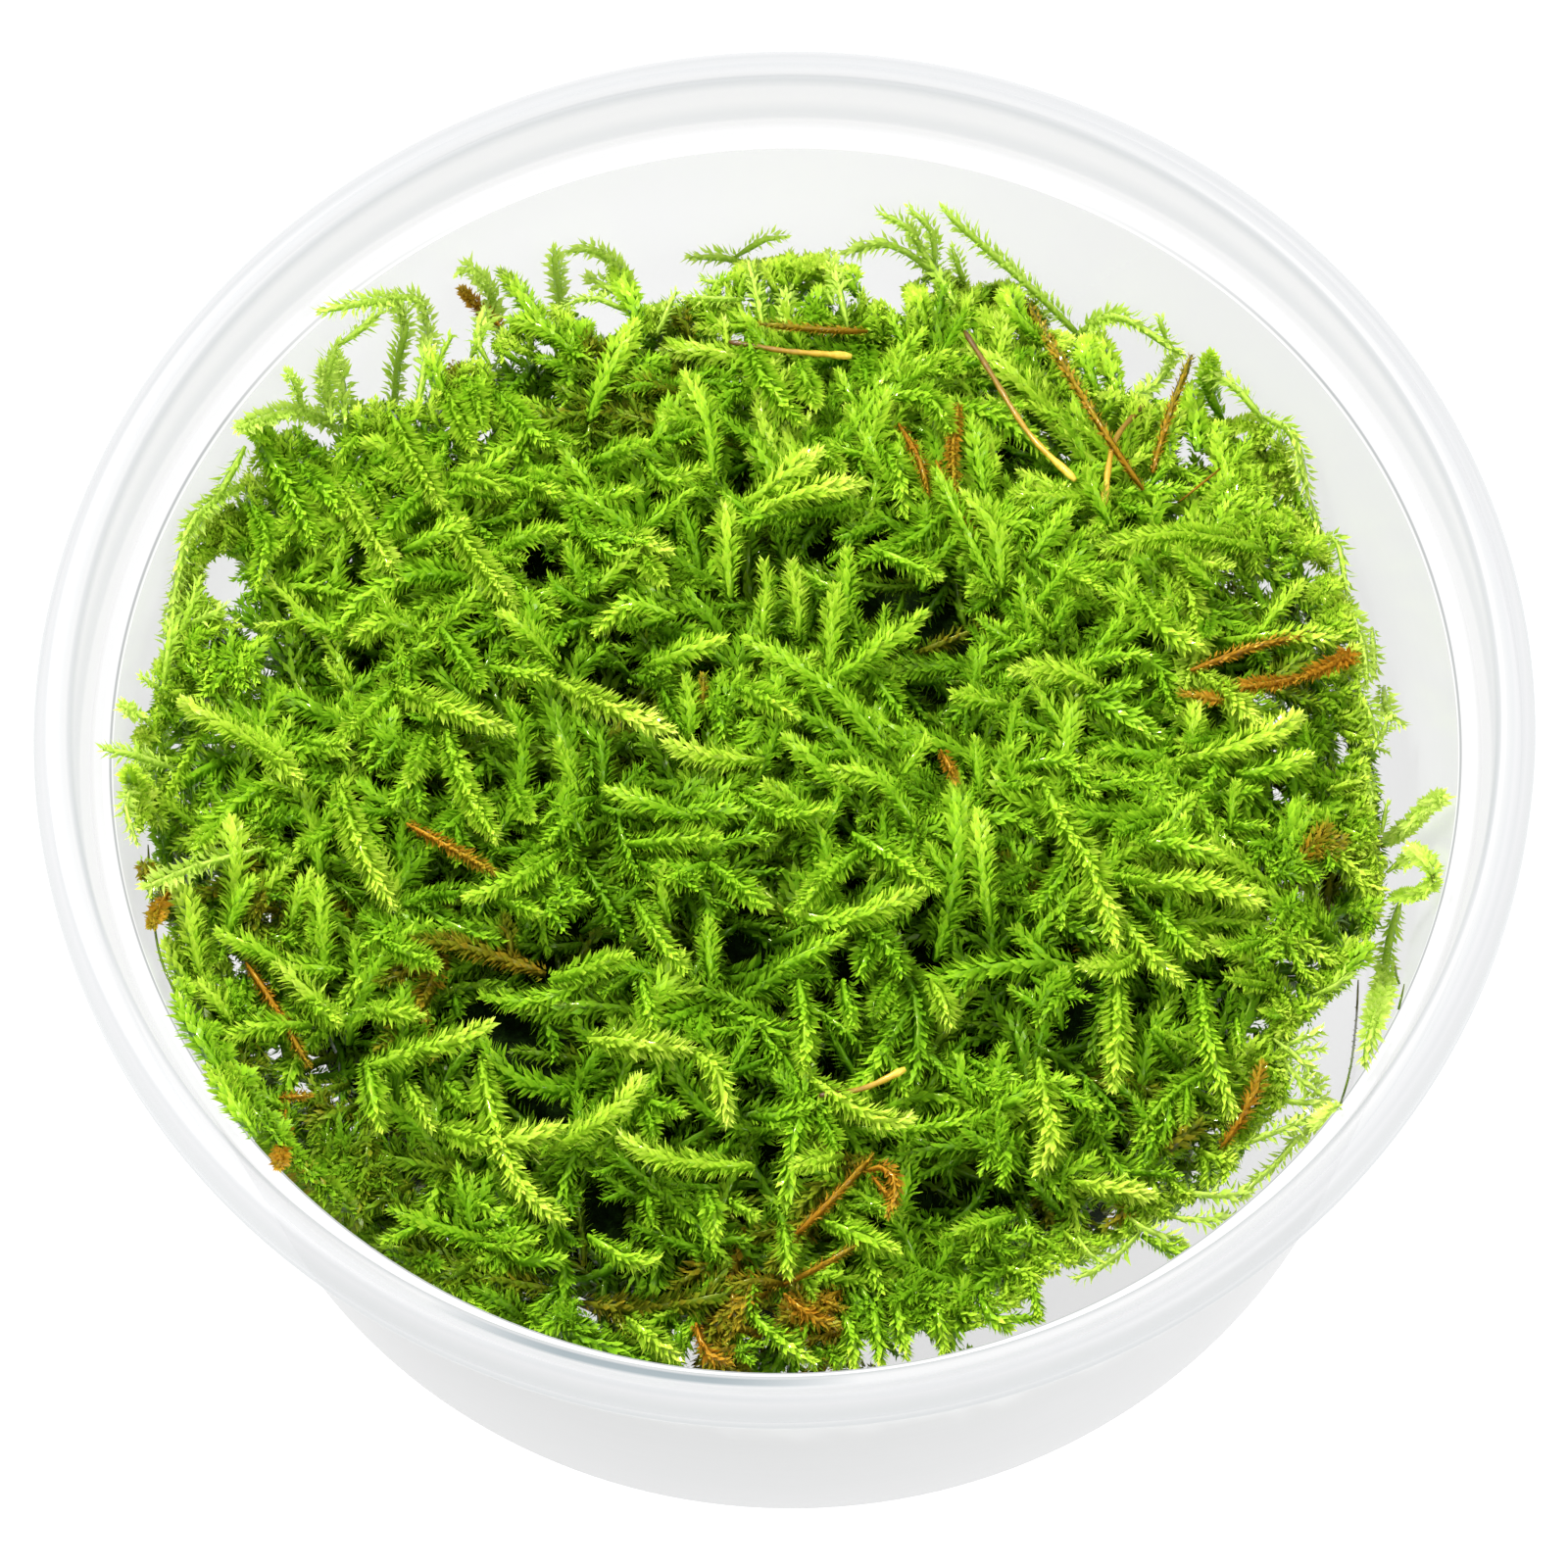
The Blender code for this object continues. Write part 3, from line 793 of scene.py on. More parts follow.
@dataclass(frozen=True)
class CupShape:
    """The cup's outline, turned round its axis: foot, tapered wall, ledge and rolled rim."""

    turns: int = 192
    wall_foot: tuple[float, float] = (41.0, 2.9)
    wall_ledge: tuple[float, float] = (45.6, 38.7)
    outline: tuple[tuple[float, float], ...] = (
        (0.0, 0.8), (20.0, 0.8), (37.0, 0.8), (37.6, 0.72), (38.5, 0.0), (39.5, 0.0), (40.6, 0.0),
        (41.0, 0.12), (41.33, 0.37), (41.58, 0.7), (41.7, 1.1), (44.1, 19.4), (46.4, 37.0),
        (46.5, 37.8), (46.75, 38.15), (47.2, 38.45), (47.8, 38.7), (47.95, 39.1), (48.8, 43.2),
        (48.95, 43.4), (49.4, 43.4), (49.6, 43.2), (49.6, 41.4), (49.68, 41.3), (50.42, 41.3),
        (50.5, 41.4), (50.5, 43.1), (50.4, 43.62), (50.14, 44.02), (49.75, 44.3), (49.3, 44.4),
        (48.5, 44.4), (48.1, 44.34), (47.86, 44.1), (46.98, 39.5), (46.85, 39.28), (46.6, 39.16),
        (45.8, 38.95), (45.6, 38.7), (45.5, 38.2), (43.3, 21.0), (41.05, 3.3), (40.85, 2.5),
        (40.45, 1.95), (39.8, 1.7), (20.0, 1.7), (0.0, 1.7),
    )

    def wall(self, height: np.ndarray | float) -> np.ndarray | float:
        """Gives the radius of the wall's inner side.

        Args:
            height: Height above the ground in millimetres.

        Returns:
            The radius there.
        """
        (r0, z0), (r1, z1) = self.wall_foot, self.wall_ledge
        return r0 + (height - z0) / (z1 - z0) * (r1 - r0)

    def build(self) -> bpy.types.Object:
        """Spins the outline into the cup.

        Returns:
            The finished cup.
        """
        select_nothing()
        mesh = bpy.data.meshes.new("moulded_cup")
        points = [(r * MM, 0.0, z * MM) for r, z in self.outline]
        mesh.from_pydata(points, [(i, i + 1) for i in range(len(points) - 1)], [])
        made = bpy.data.objects.new("moulded_cup", mesh)
        bpy.context.scene.collection.objects.link(made)
        bpy.context.view_layer.objects.active = made
        made.select_set(True)
        bpy.ops.object.mode_set(mode="EDIT")
        bpy.ops.mesh.select_all(action="SELECT")
        bpy.ops.mesh.spin(steps=self.turns, angle=2 * math.pi, center=(0, 0, 0), axis=(0, 0, 1))
        bpy.ops.mesh.select_all(action="SELECT")
        bpy.ops.mesh.remove_doubles(threshold=0.01 * MM)
        bpy.ops.mesh.normals_make_consistent(inside=False)
        bpy.ops.object.mode_set(mode="OBJECT")
        bpy.ops.object.shade_smooth_by_angle(angle=math.radians(50))
        made.data.materials.append(CupFinish().build())
        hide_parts("cup")
        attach(made, "root")
        LOG.info("moulded_cup: %d faces", len(made.data.polygons))
        return made


@dataclass(frozen=True)
class Mound:
    """The form of the moss cushion, as in the CAD source."""

    top_height: float = 35.4
    radius: float = 41.9
    sway: float = 1.4
    sway_towards: float = math.radians(190)
    dent: float = 1.4
    back_rise: float = 2.0
    back_at: float = math.radians(88)
    back_spread: float = math.radians(42)
    edge: float = 30.2
    left_rise: float = 3.0
    side_rise: float = 1.8
    dome_power: float = 3.0
    flank_power: float = 2.6
    foot_radius: float = 30.0
    foot_height: float = 2.0
    lump: float = 0.75
    overhang_slope: float = 2.0

    def share_of_back(self, azimuth: np.ndarray | float) -> np.ndarray | float:
        """Gives one at the cushion's back, fading to nothing at its sides."""
        turned = np.mod(azimuth - self.back_at + np.pi, 2 * np.pi) - np.pi
        return np.exp(-((turned / self.back_spread) ** 2))

    def edge_radius(self, azimuth: np.ndarray | float) -> np.ndarray | float:
        """Gives how far the cushion reaches out towards an azimuth."""
        sway = self.sway * np.cos(azimuth - self.sway_towards)
        return self.radius + sway - self.dent * self.share_of_back(azimuth)

    def edge_height(self, azimuth: np.ndarray | float) -> np.ndarray | float:
        """Gives the height of the cushion's edge at an azimuth."""
        sides = self.side_rise * np.cos(2 * azimuth) - self.left_rise * np.cos(azimuth)
        return self.edge + sides + self.back_rise * self.share_of_back(azimuth)

    def lumps(self, x: np.ndarray, y: np.ndarray) -> np.ndarray:
        """Gives the cushion's unevenness.

        Args:
            x: Places along X in millimetres.
            y: Places along Y in millimetres.

        Returns:
            Heights to add to the smooth dome.
        """
        waves = np.sin(x / 2.1 + 0.6) * np.cos(y / 2.6)
        waves = waves + np.sin((x + y) / 2.4) + np.cos((x - 0.7 * y) / 1.8 + 1.9)
        return self.lump * waves / 2

    def height(self, x: np.ndarray, y: np.ndarray) -> np.ndarray:
        """Gives the height of the cushion's skin, which falls off outside its edge.

        Args:
            x: Places along X in millimetres.
            y: Places along Y in millimetres.

        Returns:
            The skin's height at each place.
        """
        azimuth = np.arctan2(y, x)
        reach = self.edge_radius(azimuth)
        out = np.hypot(x, y)
        turn = np.minimum(out / reach, 1.0) ** self.dome_power
        edge = self.edge_height(azimuth)
        dome = self.top_height - (self.top_height - edge) * turn
        dome = dome + self.lumps(x, y) * (1 - turn)
        return dome - self.overhang_slope * np.maximum(out - reach, 0.0)

    def flank(self, azimuth: float, share: float) -> np.ndarray:
        """Gives a point of the flank.

        Args:
            azimuth: Direction in radians.
            share: From 0 at the edge to 1 at the foot.

        Returns:
            The point in millimetres.
        """
        reach = self.edge_radius(azimuth)
        out = reach - (reach - self.foot_radius) * share**self.flank_power
        edge = self.edge_height(azimuth)
        height = edge + (self.foot_height - edge) * share
        return np.array([out * math.cos(azimuth), out * math.sin(azimuth), height])


@dataclass
class Sight:
    """Finds where a pixel of the photograph lies on the moss or on the cup's wall."""

    camera: PhotoCamera
    mound: Mound
    cup: CupShape
    wall_gap: float = 1.25
    ledge_rest: float = 40.0
    ledge_reach: float = 46.2
    highest: float = 42.0
    lowest: float = 3.0
    samples: int = 400

    def place(self, pixel: Pixel, lift: float) -> np.ndarray:
        """Follows the line of sight down until it meets the moss or the wall.

        Args:
            pixel: Place in the photograph.
            lift: How far above the cushion's skin the point stands.

        Returns:
            The point in millimetres.
        """
        eye, way = self.camera.eye(), self.camera.ray(pixel)
        heights = np.linspace(self.highest, self.lowest, self.samples)
        points = eye + ((heights - eye[2]) / way[2])[:, None] * way
        x, y, z = points.T
        inside = np.hypot(x, y) <= self.cup.wall(np.minimum(z, 38.0)) - self.wall_gap
        under = z <= self.mound.height(x, y) + lift
        met = np.nonzero(inside & under)[0]
        in_cup = np.nonzero(inside)[0]
        if len(in_cup) == 0:
            on_ledge = points[int(np.argmin(np.abs(heights - self.ledge_rest)))].copy()
            out = float(np.hypot(*on_ledge[:2]))
            on_ledge[:2] *= min(1.0, self.ledge_reach / out)
            return on_ledge
        if len(met) == 0 or met[0] > in_cup[-1]:
            return points[in_cup[-1]]
        return points[met[0]]


class LeafPattern:
    """One moss leaf, modelled once: a pointed blade of two facets, its tip bent outwards."""

    def __init__(self) -> None:
        """Models the leaf and keeps its corners and faces."""
        select_nothing()
        bpy.ops.mesh.primitive_circle_add(
            vertices=4, radius=0.5, fill_type="NGON", location=(0.5, 0, 0)
        )
        leaf = bpy.context.object
        leaf.data.transform(leaf.matrix_world)
        leaf.matrix_world = Matrix.Identity(4)
        self.move(leaf, lambda c: abs(c.y) > 0.4, (-0.12, 0, 0.02))
        self.move(leaf, lambda c: c.x > 0.9, (0, 0, 0.3))
        bpy.ops.object.mode_set(mode="EDIT")
        bpy.ops.mesh.select_all(action="SELECT")
        bpy.ops.mesh.quads_convert_to_tris(quad_method="FIXED")
        bpy.ops.object.mode_set(mode="OBJECT")
        self.corners = np.array([v.co for v in leaf.data.vertices])
        self.faces = np.array([p.vertices for p in leaf.data.polygons])
        first = self.corners[self.faces[0]]
        if np.cross(first[1] - first[0], first[2] - first[0])[2] < 0:
            self.faces = self.faces[:, ::-1]
        mesh = leaf.data
        bpy.data.objects.remove(leaf)
        bpy.data.meshes.remove(mesh)

    @staticmethod
    def move(
        leaf: bpy.types.Object,
        chosen: Callable[[Vector], bool],
        shift: tuple[float, float, float],
    ) -> None:
        """Moves some of the leaf's corners in edit mode.

        Args:
            leaf: The leaf.
            chosen: Tells from a corner's place whether it moves.
            shift: How far it moves.
        """
        for v in leaf.data.vertices:
            v.select = bool(chosen(v.co))
        for e in leaf.data.edges:
            e.select = False
        for p in leaf.data.polygons:
            p.select = False
        bpy.ops.object.mode_set(mode="EDIT")
        bpy.ops.mesh.select_mode(type="VERT")
        bpy.ops.transform.translate(value=shift)
        bpy.ops.object.mode_set(mode="OBJECT")


@dataclass
class Shoot:
    """One leafy shoot: the line it follows and how its leaves look."""

    line: np.ndarray
    age: float
    width: float = 2.0
    # How light its leaves are: painted shade, darker for shoots deep in the cushion.
    light: float = 1.0
    sparse: float = 1.0
    opening: float = 1.0
    body: float = 1.0
    hidden_side: bool = False


@dataclass(frozen=True)
class ShootKind:
    """Shoots of the photograph that look alike.

    Age, width in millimetres, how far the leaves stand out, how thick the body is, the share
    of leaves, and the shoots' routes.
    """

    age: Age
    width: float
    opening: float
    body: float
    leafy: float
    routes: tuple[Route, ...]
    on_wall: bool = False


# A young shoot's leaves: how many to a millimetre, their length, their width and their spread.
YOUNG_LEAVES = (15.0, 1.15, 0.46, math.radians(50))


def points_at(line: np.ndarray, along: np.ndarray, way: np.ndarray) -> np.ndarray:
    """Gives points on a line.

    Args:
        line: The line's points.
        along: How far each of them is from the line's start.
        way: How far from its start the wanted points are.

    Returns:
        The wanted points, one a row.
    """
    return np.stack([np.interp(way, along, line[:, i]) for i in range(3)], axis=1)


def square_to(tangent: np.ndarray) -> tuple[np.ndarray, np.ndarray]:
    """Gives two directions square to a line at each of its points.

    Args:
        tangent: The line's direction at each point.

    Returns:
        The direction that looks up, and the one to the side.
    """
    upward = np.array([0.0, 0.0, 1.0]) + 1e-3 * tangent[:, ::-1]
    normal = unit(upward - np.sum(upward * tangent, axis=1, keepdims=True) * tangent)
    return normal, np.cross(tangent, normal)


@dataclass
class ShootGrower:
    """Grows leaves and stems along shoots and gathers them in one mesh."""

    leaf: LeafPattern
    seed: int
    leaves_per_mm: float = 27.0
    leaf_length: float = 0.9
    leaf_width: float = 0.42
    spread: float = math.radians(42)
    top_spread: float = 0.3
    tip_spread: float = math.radians(15)
    flatness: float = 0.75
    body_radius: float = 0.52
    tip_radius: float = 0.1
    stem_spacing: float = 1.2
    stem_sides: int = 3
    base_light: float = 0.22
    # Painted glow: stems of thin-bodied shoots are painted lighter, as if lit through their
    # leaves.
    thin_painted_glow: float = 6.0
    age_rise: float = 0.12
    age_start: float = 0.04
    age_chance: float = 0.035
    ages: tuple[float, float] = (0.01, 0.98)
    stem_ages: tuple[float, float] = (0.02, 0.95)
    shade: tuple[float, float] = (0.95, 0.16)
    shades: tuple[float, float] = (0.15, 1.2)
    # Chart places of the stem's three sides: the upper side painted lighter, as painted light from
    # above.
    stem_painted_light: tuple[float, float, float] = (0.12, 0.26, 0.12)
    chart_width: float = 0.008
    shortest: float = 0.8
    look: float = 0.3
    curve: float = 1.5
    taper: float = 0.7
    first_leaf: float = 0.55
    tip_loss: float = 0.3
    foot_depth: float = 0.75
    hidden_below: float = -0.45
    turn_chance: float = 0.25
    spread_chance: float = 0.16
    twist_chance: float = 0.35
    leaf_chance: tuple[float, float] = (0.13, 0.12)
    points: list[np.ndarray] = field(default_factory=list)
    faces: list[np.ndarray] = field(default_factory=list)
    charts: list[np.ndarray] = field(default_factory=list)
    count: int = 0

    def __post_init__(self) -> None:
        """Starts the row of chance numbers."""
        self.chance = np.random.default_rng(self.seed)

    def keep(self, points: np.ndarray, faces: np.ndarray, chart: np.ndarray) -> None:
        """Adds faces to the gathered mesh.

        Args:
            points: Corners in millimetres.
            faces: Triangles that name the corners.
            chart: The place of each corner on the chart of colours.
        """
        self.points.append(points)
        self.faces.append(faces + self.count)
        self.charts.append(chart)
        self.count += len(points)

    def triangles(self) -> int:
        """Counts the triangles gathered so far."""
        return sum(len(f) for f in self.faces)

    def grow(self, shoot: Shoot) -> None:
        """Grows one shoot.

        Args:
            shoot: The shoot to grow.
        """
        line = shoot.line
        steps = np.linalg.norm(np.diff(line, axis=0), axis=1)
        along = np.concatenate([[0.0], np.cumsum(steps)])
        length = along[-1]
        if length < self.shortest:
            return
        self.stem(shoot, along)
        count = max(int(length * self.leaves_per_mm * shoot.sparse), 4)
        way = (np.arange(count) + self.chance.uniform(0, 1, count)) / count * length
        spot = points_at(line, along, way)
        ahead = points_at(line, along, np.minimum(way + self.look, length))
        before = points_at(line, along, np.maximum(way - self.look, 0))
        tangent = unit(ahead - before)
        normal, side = square_to(tangent)
        turn = np.arange(count) * GOLDEN_ANGLE + self.chance.normal(0, self.turn_chance, count)
        turn += self.chance.uniform(0, 2 * math.pi)
        if shoot.hidden_side:
            seen = np.sin(turn) > self.hidden_below
            way, spot, tangent, normal, side, turn = (
                part[seen] for part in (way, spot, tangent, normal, side, turn)
            )
            count = len(way)
        radial = unit(
            np.cos(turn)[:, None] * side
            + (self.flatness * np.sin(turn))[:, None] * normal
        )
        left = (length - way) / max(shoot.width, 1.0)
        near_tip = np.clip(1 - left, 0, 1)
        sideways = np.abs(np.cos(turn))
        spread = shoot.opening * self.spread
        spread = spread * (self.top_spread + (1 - self.top_spread) * sideways**self.curve)
        spread = spread * (1 - near_tip) + self.tip_spread * near_tip
        spread = spread * self.chance.normal(1, self.spread_chance, count)
        axis = np.cos(spread)[:, None] * tangent + np.sin(spread)[:, None] * radial
        outward = np.cos(spread)[:, None] * radial - np.sin(spread)[:, None] * tangent
        across = np.cross(outward, axis)
        twist = self.chance.normal(0, self.twist_chance, count)[:, None]
        across, outward = (
            np.cos(twist) * across + np.sin(twist) * outward,
            np.cos(twist) * outward - np.sin(twist) * across,
        )
        grown = np.clip(way / 2.0, self.first_leaf, 1.0) * (1 - self.tip_loss * near_tip)
        longer, wider = (self.chance.normal(1, c, count) for c in self.leaf_chance)
        size = self.leaf_length * shoot.width / 2.0 * grown * longer
        width = self.leaf_width * shoot.width / 2.0 * grown * wider
        body = shoot.body * self.body_radius * shoot.width / 2.0
        body = body + (self.tip_radius - body) * near_tip[:, None] ** self.curve
        foot = spot + radial * body * self.foot_depth
        corner = self.leaf.corners
        points = (
            foot[:, None, :]
            + (size[:, None] * corner[:, 0])[:, :, None] * axis[:, None, :]
            + (width[:, None] * corner[:, 1])[:, :, None] * across[:, None, :]
            + (size[:, None] * corner[:, 2])[:, :, None] * outward[:, None, :]
        )
        age = shoot.age + self.age_rise * (way / length) ** self.curve - self.age_start
        age = np.clip(age + self.chance.normal(0, self.age_chance, count), *self.ages)
        shade = self.chance.normal(*self.shade, count) * shoot.light
        shade = np.clip(shade, *self.shades)
        chart = np.empty((count, len(corner), 2))
        chart[:, :, 0] = age[:, None] + self.chart_width * corner[None, :, 1]
        # Up the chart each leaf runs from foot to tip, scaled by the shoot's light, a painted
        # shade.
        base = self.base_light * shoot.light
        chart[:, :, 1] = np.clip(
            base + shade[:, None] * corner[None, :, 0] * (0.98 - base), 0.01, 0.99
        )
        faces = self.leaf.faces[None, :, :] + (np.arange(count) * len(corner))[:, None, None]
        self.keep(points.reshape(-1, 3), faces.reshape(-1, 3), chart.reshape(-1, 2))

    def stem(self, shoot: Shoot, along: np.ndarray) -> None:
        """Grows the thin stem inside a shoot, three-sided and pointed at its tip.

        Args:
            shoot: The shoot that the stem carries.
            along: How far each point of its line is from the root.
        """
        sides = self.stem_sides
        count = max(int(along[-1] / self.stem_spacing), 2) + 1
        stops = np.linspace(0.0, along[-1], count)
        line = points_at(shoot.line, along, stops)
        along = stops
        normal, side = square_to(unit(np.gradient(line, axis=0)))
        left = np.clip((along[-1] - along) / max(shoot.width, 1.0), 0, 1)
        grown = np.clip(0.5 + along / 2.0, 0.5, 1.0)
        body = shoot.body * self.body_radius * shoot.width / 2.0
        radius = (self.tip_radius + (body - self.tip_radius) * left**self.taper) * grown
        turns = np.arange(sides) * 2 * math.pi / sides - math.pi / 6
        ring = (
            line[:, None, :]
            + (radius[:, None] * np.cos(turns))[:, :, None] * side[:, None, :]
            + (radius[:, None] * np.sin(turns))[:, :, None] * normal[:, None, :]
        )
        faces = []
        for i in range(count - 1):
            for j in range(sides):
                a, b = i * sides + j, i * sides + (j + 1) % sides
                faces += [(a, a + sides, b), (b, a + sides, b + sides)]
        last = (count - 1) * sides
        faces += [(0, 1, 2), (last, last + 2, last + 1)]
        points = ring.reshape(-1, 3)
        chart = np.empty((len(points), 2))
        risen = self.age_rise * np.repeat(along / along[-1], sides)
        chart[:, 0] = np.clip(shoot.age - self.age_start + risen, *self.stem_ages)
        # Painted glow on the stems of thin-bodied shoots.
        through = 1.0 + self.thin_painted_glow * max(1.0 - shoot.body, 0.0)
        chart[:, 1] = np.tile(np.array(self.stem_painted_light), count) * shoot.light * through
        self.keep(points, np.array(faces), chart)

    def build(self, name: str, finish: bpy.types.Material) -> bpy.types.Object:
        """Makes one mesh object of all that was grown.

        Args:
            name: The piece's name.
            finish: Its material.

        Returns:
            The new piece.
        """
        lists = (self.points, self.faces, self.charts)
        made = joined_mesh(name, *(np.concatenate(rows) for rows in lists))
        made.data.materials.append(finish)
        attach(made, "root")
        LOG.info("%s: %d triangles", name, len(made.data.polygons))
        return made


def joined_mesh(
    name: str, points: np.ndarray, faces: np.ndarray, chart: np.ndarray
) -> bpy.types.Object:
    """Makes an object from corners in millimetres and triangles.

    Args:
        name: The object's name.
        points: Corners.
        faces: Triangles.
        chart: Each corner's place on the chart of colours.

    Returns:
        The object, linked to the scene.
    """
    mesh = bpy.data.meshes.new(name)
    mesh.vertices.add(len(points))
    mesh.vertices.foreach_set("co", (points * MM).astype(np.float32).ravel())
    mesh.loops.add(faces.size)
    mesh.loops.foreach_set("vertex_index", faces.astype(np.int32).ravel())
    mesh.polygons.add(len(faces))
    mesh.polygons.foreach_set("loop_start", np.arange(0, faces.size, 3, dtype=np.int32))
    layer = mesh.uv_layers.new(name="OFBake")
    layer.uv.foreach_set("vector", chart[faces.ravel()].astype(np.float32).ravel())
    mesh.update(calc_edges=True)
    mesh.validate()
    mesh.polygons.foreach_set("use_smooth", np.ones(len(mesh.polygons), dtype=bool))
    made = bpy.data.objects.new(name, mesh)
    bpy.context.scene.collection.objects.link(made)
    return made


def smooth_line(points: np.ndarray, spacing: float) -> np.ndarray:
    """Draws a smooth line through points.

    Args:
        points: The points to pass, in millimetres.
        spacing: Distance between the new line's points.

    Returns:
        The new line's points.
    """
    if len(points) == 2:
        ends = points
        count = max(int(np.linalg.norm(ends[1] - ends[0]) / spacing), 2)
        share = np.linspace(0, 1, count + 1)[:, None]
        return ends[0] * (1 - share) + ends[1] * share
    padded = np.vstack([2 * points[0] - points[1], points, 2 * points[-1] - points[-2]])
    parts = []
    for a, b, c, d in zip(padded, padded[1:], padded[2:], padded[3:]):
        count = max(int(np.linalg.norm(c - b) / spacing), 2)
        t = (np.arange(count) / count)[:, None]
        square = (2 * a - 5 * b + 4 * c - d) * t**2
        cubic = (3 * b - a - 3 * c + d) * t**3
        parts.append(0.5 * (2 * b + (c - a) * t + square + cubic))
    parts.append(points[-1:])
    return np.vstack(parts)


@dataclass
class MossCushion:
    """The cushion: a dark heart, layers of chance shoots and the shoots read from the photo."""

    mound: Mound
    sight: Sight
    leaf: LeafPattern
    heart_depth: float = 6.0
    heart_inset: float = 7.0
    piece_limit: int = 190_000
    growers: list[ShootGrower] = field(default_factory=list)

    # Layers of chance shoots: depth under the skin, how many, age, how light (painted shade,
    # darker deeper down), share of leaves.
    layers: tuple[tuple[float, int, float, float, float], ...] = (
        (5.4, 260, 0.46, 0.5, 0.5), (3.8, 280, 0.5, 0.65, 0.6), (2.3, 280, 0.58, 0.85, 0.85),
        (0.9, 230, 0.66, 1.0, 1.0),
    )
    edge_scale: float = 1.012
    edge_end: int = 82
    fringe_step: float = 8.0
    fringe_root: float = 34.0
    fringe_width: float = 1.75
    edge_middle: Pixel = (770.0, 850.0)
    cup_gap: float = 1.35
    cup_top: float = 38.0

    # The cushion's edge as the photograph shows it, clockwise from the left.
    edge: tuple[Pixel, ...] = (
        (120, 800), (128, 765), (145, 735), (148, 690), (160, 655), (172, 612), (184, 562),
        (206, 528), (232, 502), (250, 462), (268, 445), (300, 430), (330, 430), (352, 415),
        (372, 400), (405, 408), (432, 405), (450, 372), (480, 358), (508, 334), (530, 316),
        (560, 306), (592, 315), (605, 338), (640, 338), (652, 305), (695, 302), (722, 290),
        (745, 272), (772, 258), (800, 256), (850, 262), (872, 272), (888, 300), (925, 312),
        (935, 280), (965, 264), (1000, 280), (1032, 286), (1062, 304), (1095, 340), (1112, 385),
        (1130, 395), (1160, 395), (1185, 410), (1215, 400), (1235, 400), (1258, 430), (1285, 425),
        (1310, 434), (1322, 456), (1330, 490), (1337, 514), (1352, 540), (1368, 562), (1374, 602),
        (1388, 636), (1395, 668), (1398, 705), (1412, 738), (1402, 768), (1408, 800), (1410, 830),
        (1412, 852), (1420, 882), (1420, 926), (1406, 965), (1388, 992), (1368, 1020),
        (1345, 1042), (1318, 1052), (1322, 1088), (1318, 1128), (1290, 1165), (1264, 1186),
        (1262, 1206), (1232, 1222), (1205, 1240), (1172, 1256), (1108, 1292), (1068, 1308),
        (1050, 1335), (1010, 1345), (1010, 1600), (100, 1600), (100, 1000), (112, 900), (118, 840),
    )

    # Bare plastic that shows between the shoots: pixel and its radius in pixels.
    bare: tuple[tuple[float, float, float], ...] = (
        (340, 446, 3), (1210, 450, 4), (1250, 412, 10), (1336, 582, 2), (222, 583, 6),
        (229, 608, 9), (885, 1378, 3), (935, 1376, 7), (985, 1366, 2), (702, 1386, 2),
    )
    bare_margin: float = 11.0
    flank_shoots: int = 260
    flank_gap: float = 1.9
    branch_gap: float = 4.6
    branch_length: tuple[float, float] = (2.5, 5.5)
    branch_angle: float = math.radians(52)
    turned_share: float = 0.35
    chance_length: tuple[float, float] = (8.0, 17.0)
    chance_bend: float = 0.07
    shoot_width: tuple[float, float] = (1.95, 0.2)
    age_chance: float = 0.06
    flank_width: tuple[float, float] = (2.0, 0.2)
    flank_start: tuple[float, float] = (0.02, 0.92)
    flank_end: float = 0.98
    flank_drift: float = 0.16
    flank_fall: float = 0.3
    flank_foot: float = 3.2
    flank_age: tuple[float, float] = (0.5, 0.08)
    fringe_age: tuple[float, float] = (0.74, 0.05)
    fringe_lean: float = 0.7
    fringe_bend: float = 4.0
    fringe_reach: tuple[float, float] = (0.8, 1.6)
    fringe_inset: tuple[float, float] = (2.0, 16.0)
    fringe_lift: float = 1.4
    width_chance: float = 0.12
    rim_from: float = 38.0
    side_from: float = 30.0
    # Painted light, as ages added towards the rim, at the right and at the back.
    painted_light_ages: tuple[float, float, float] = (0.09, 0.04, 0.02)

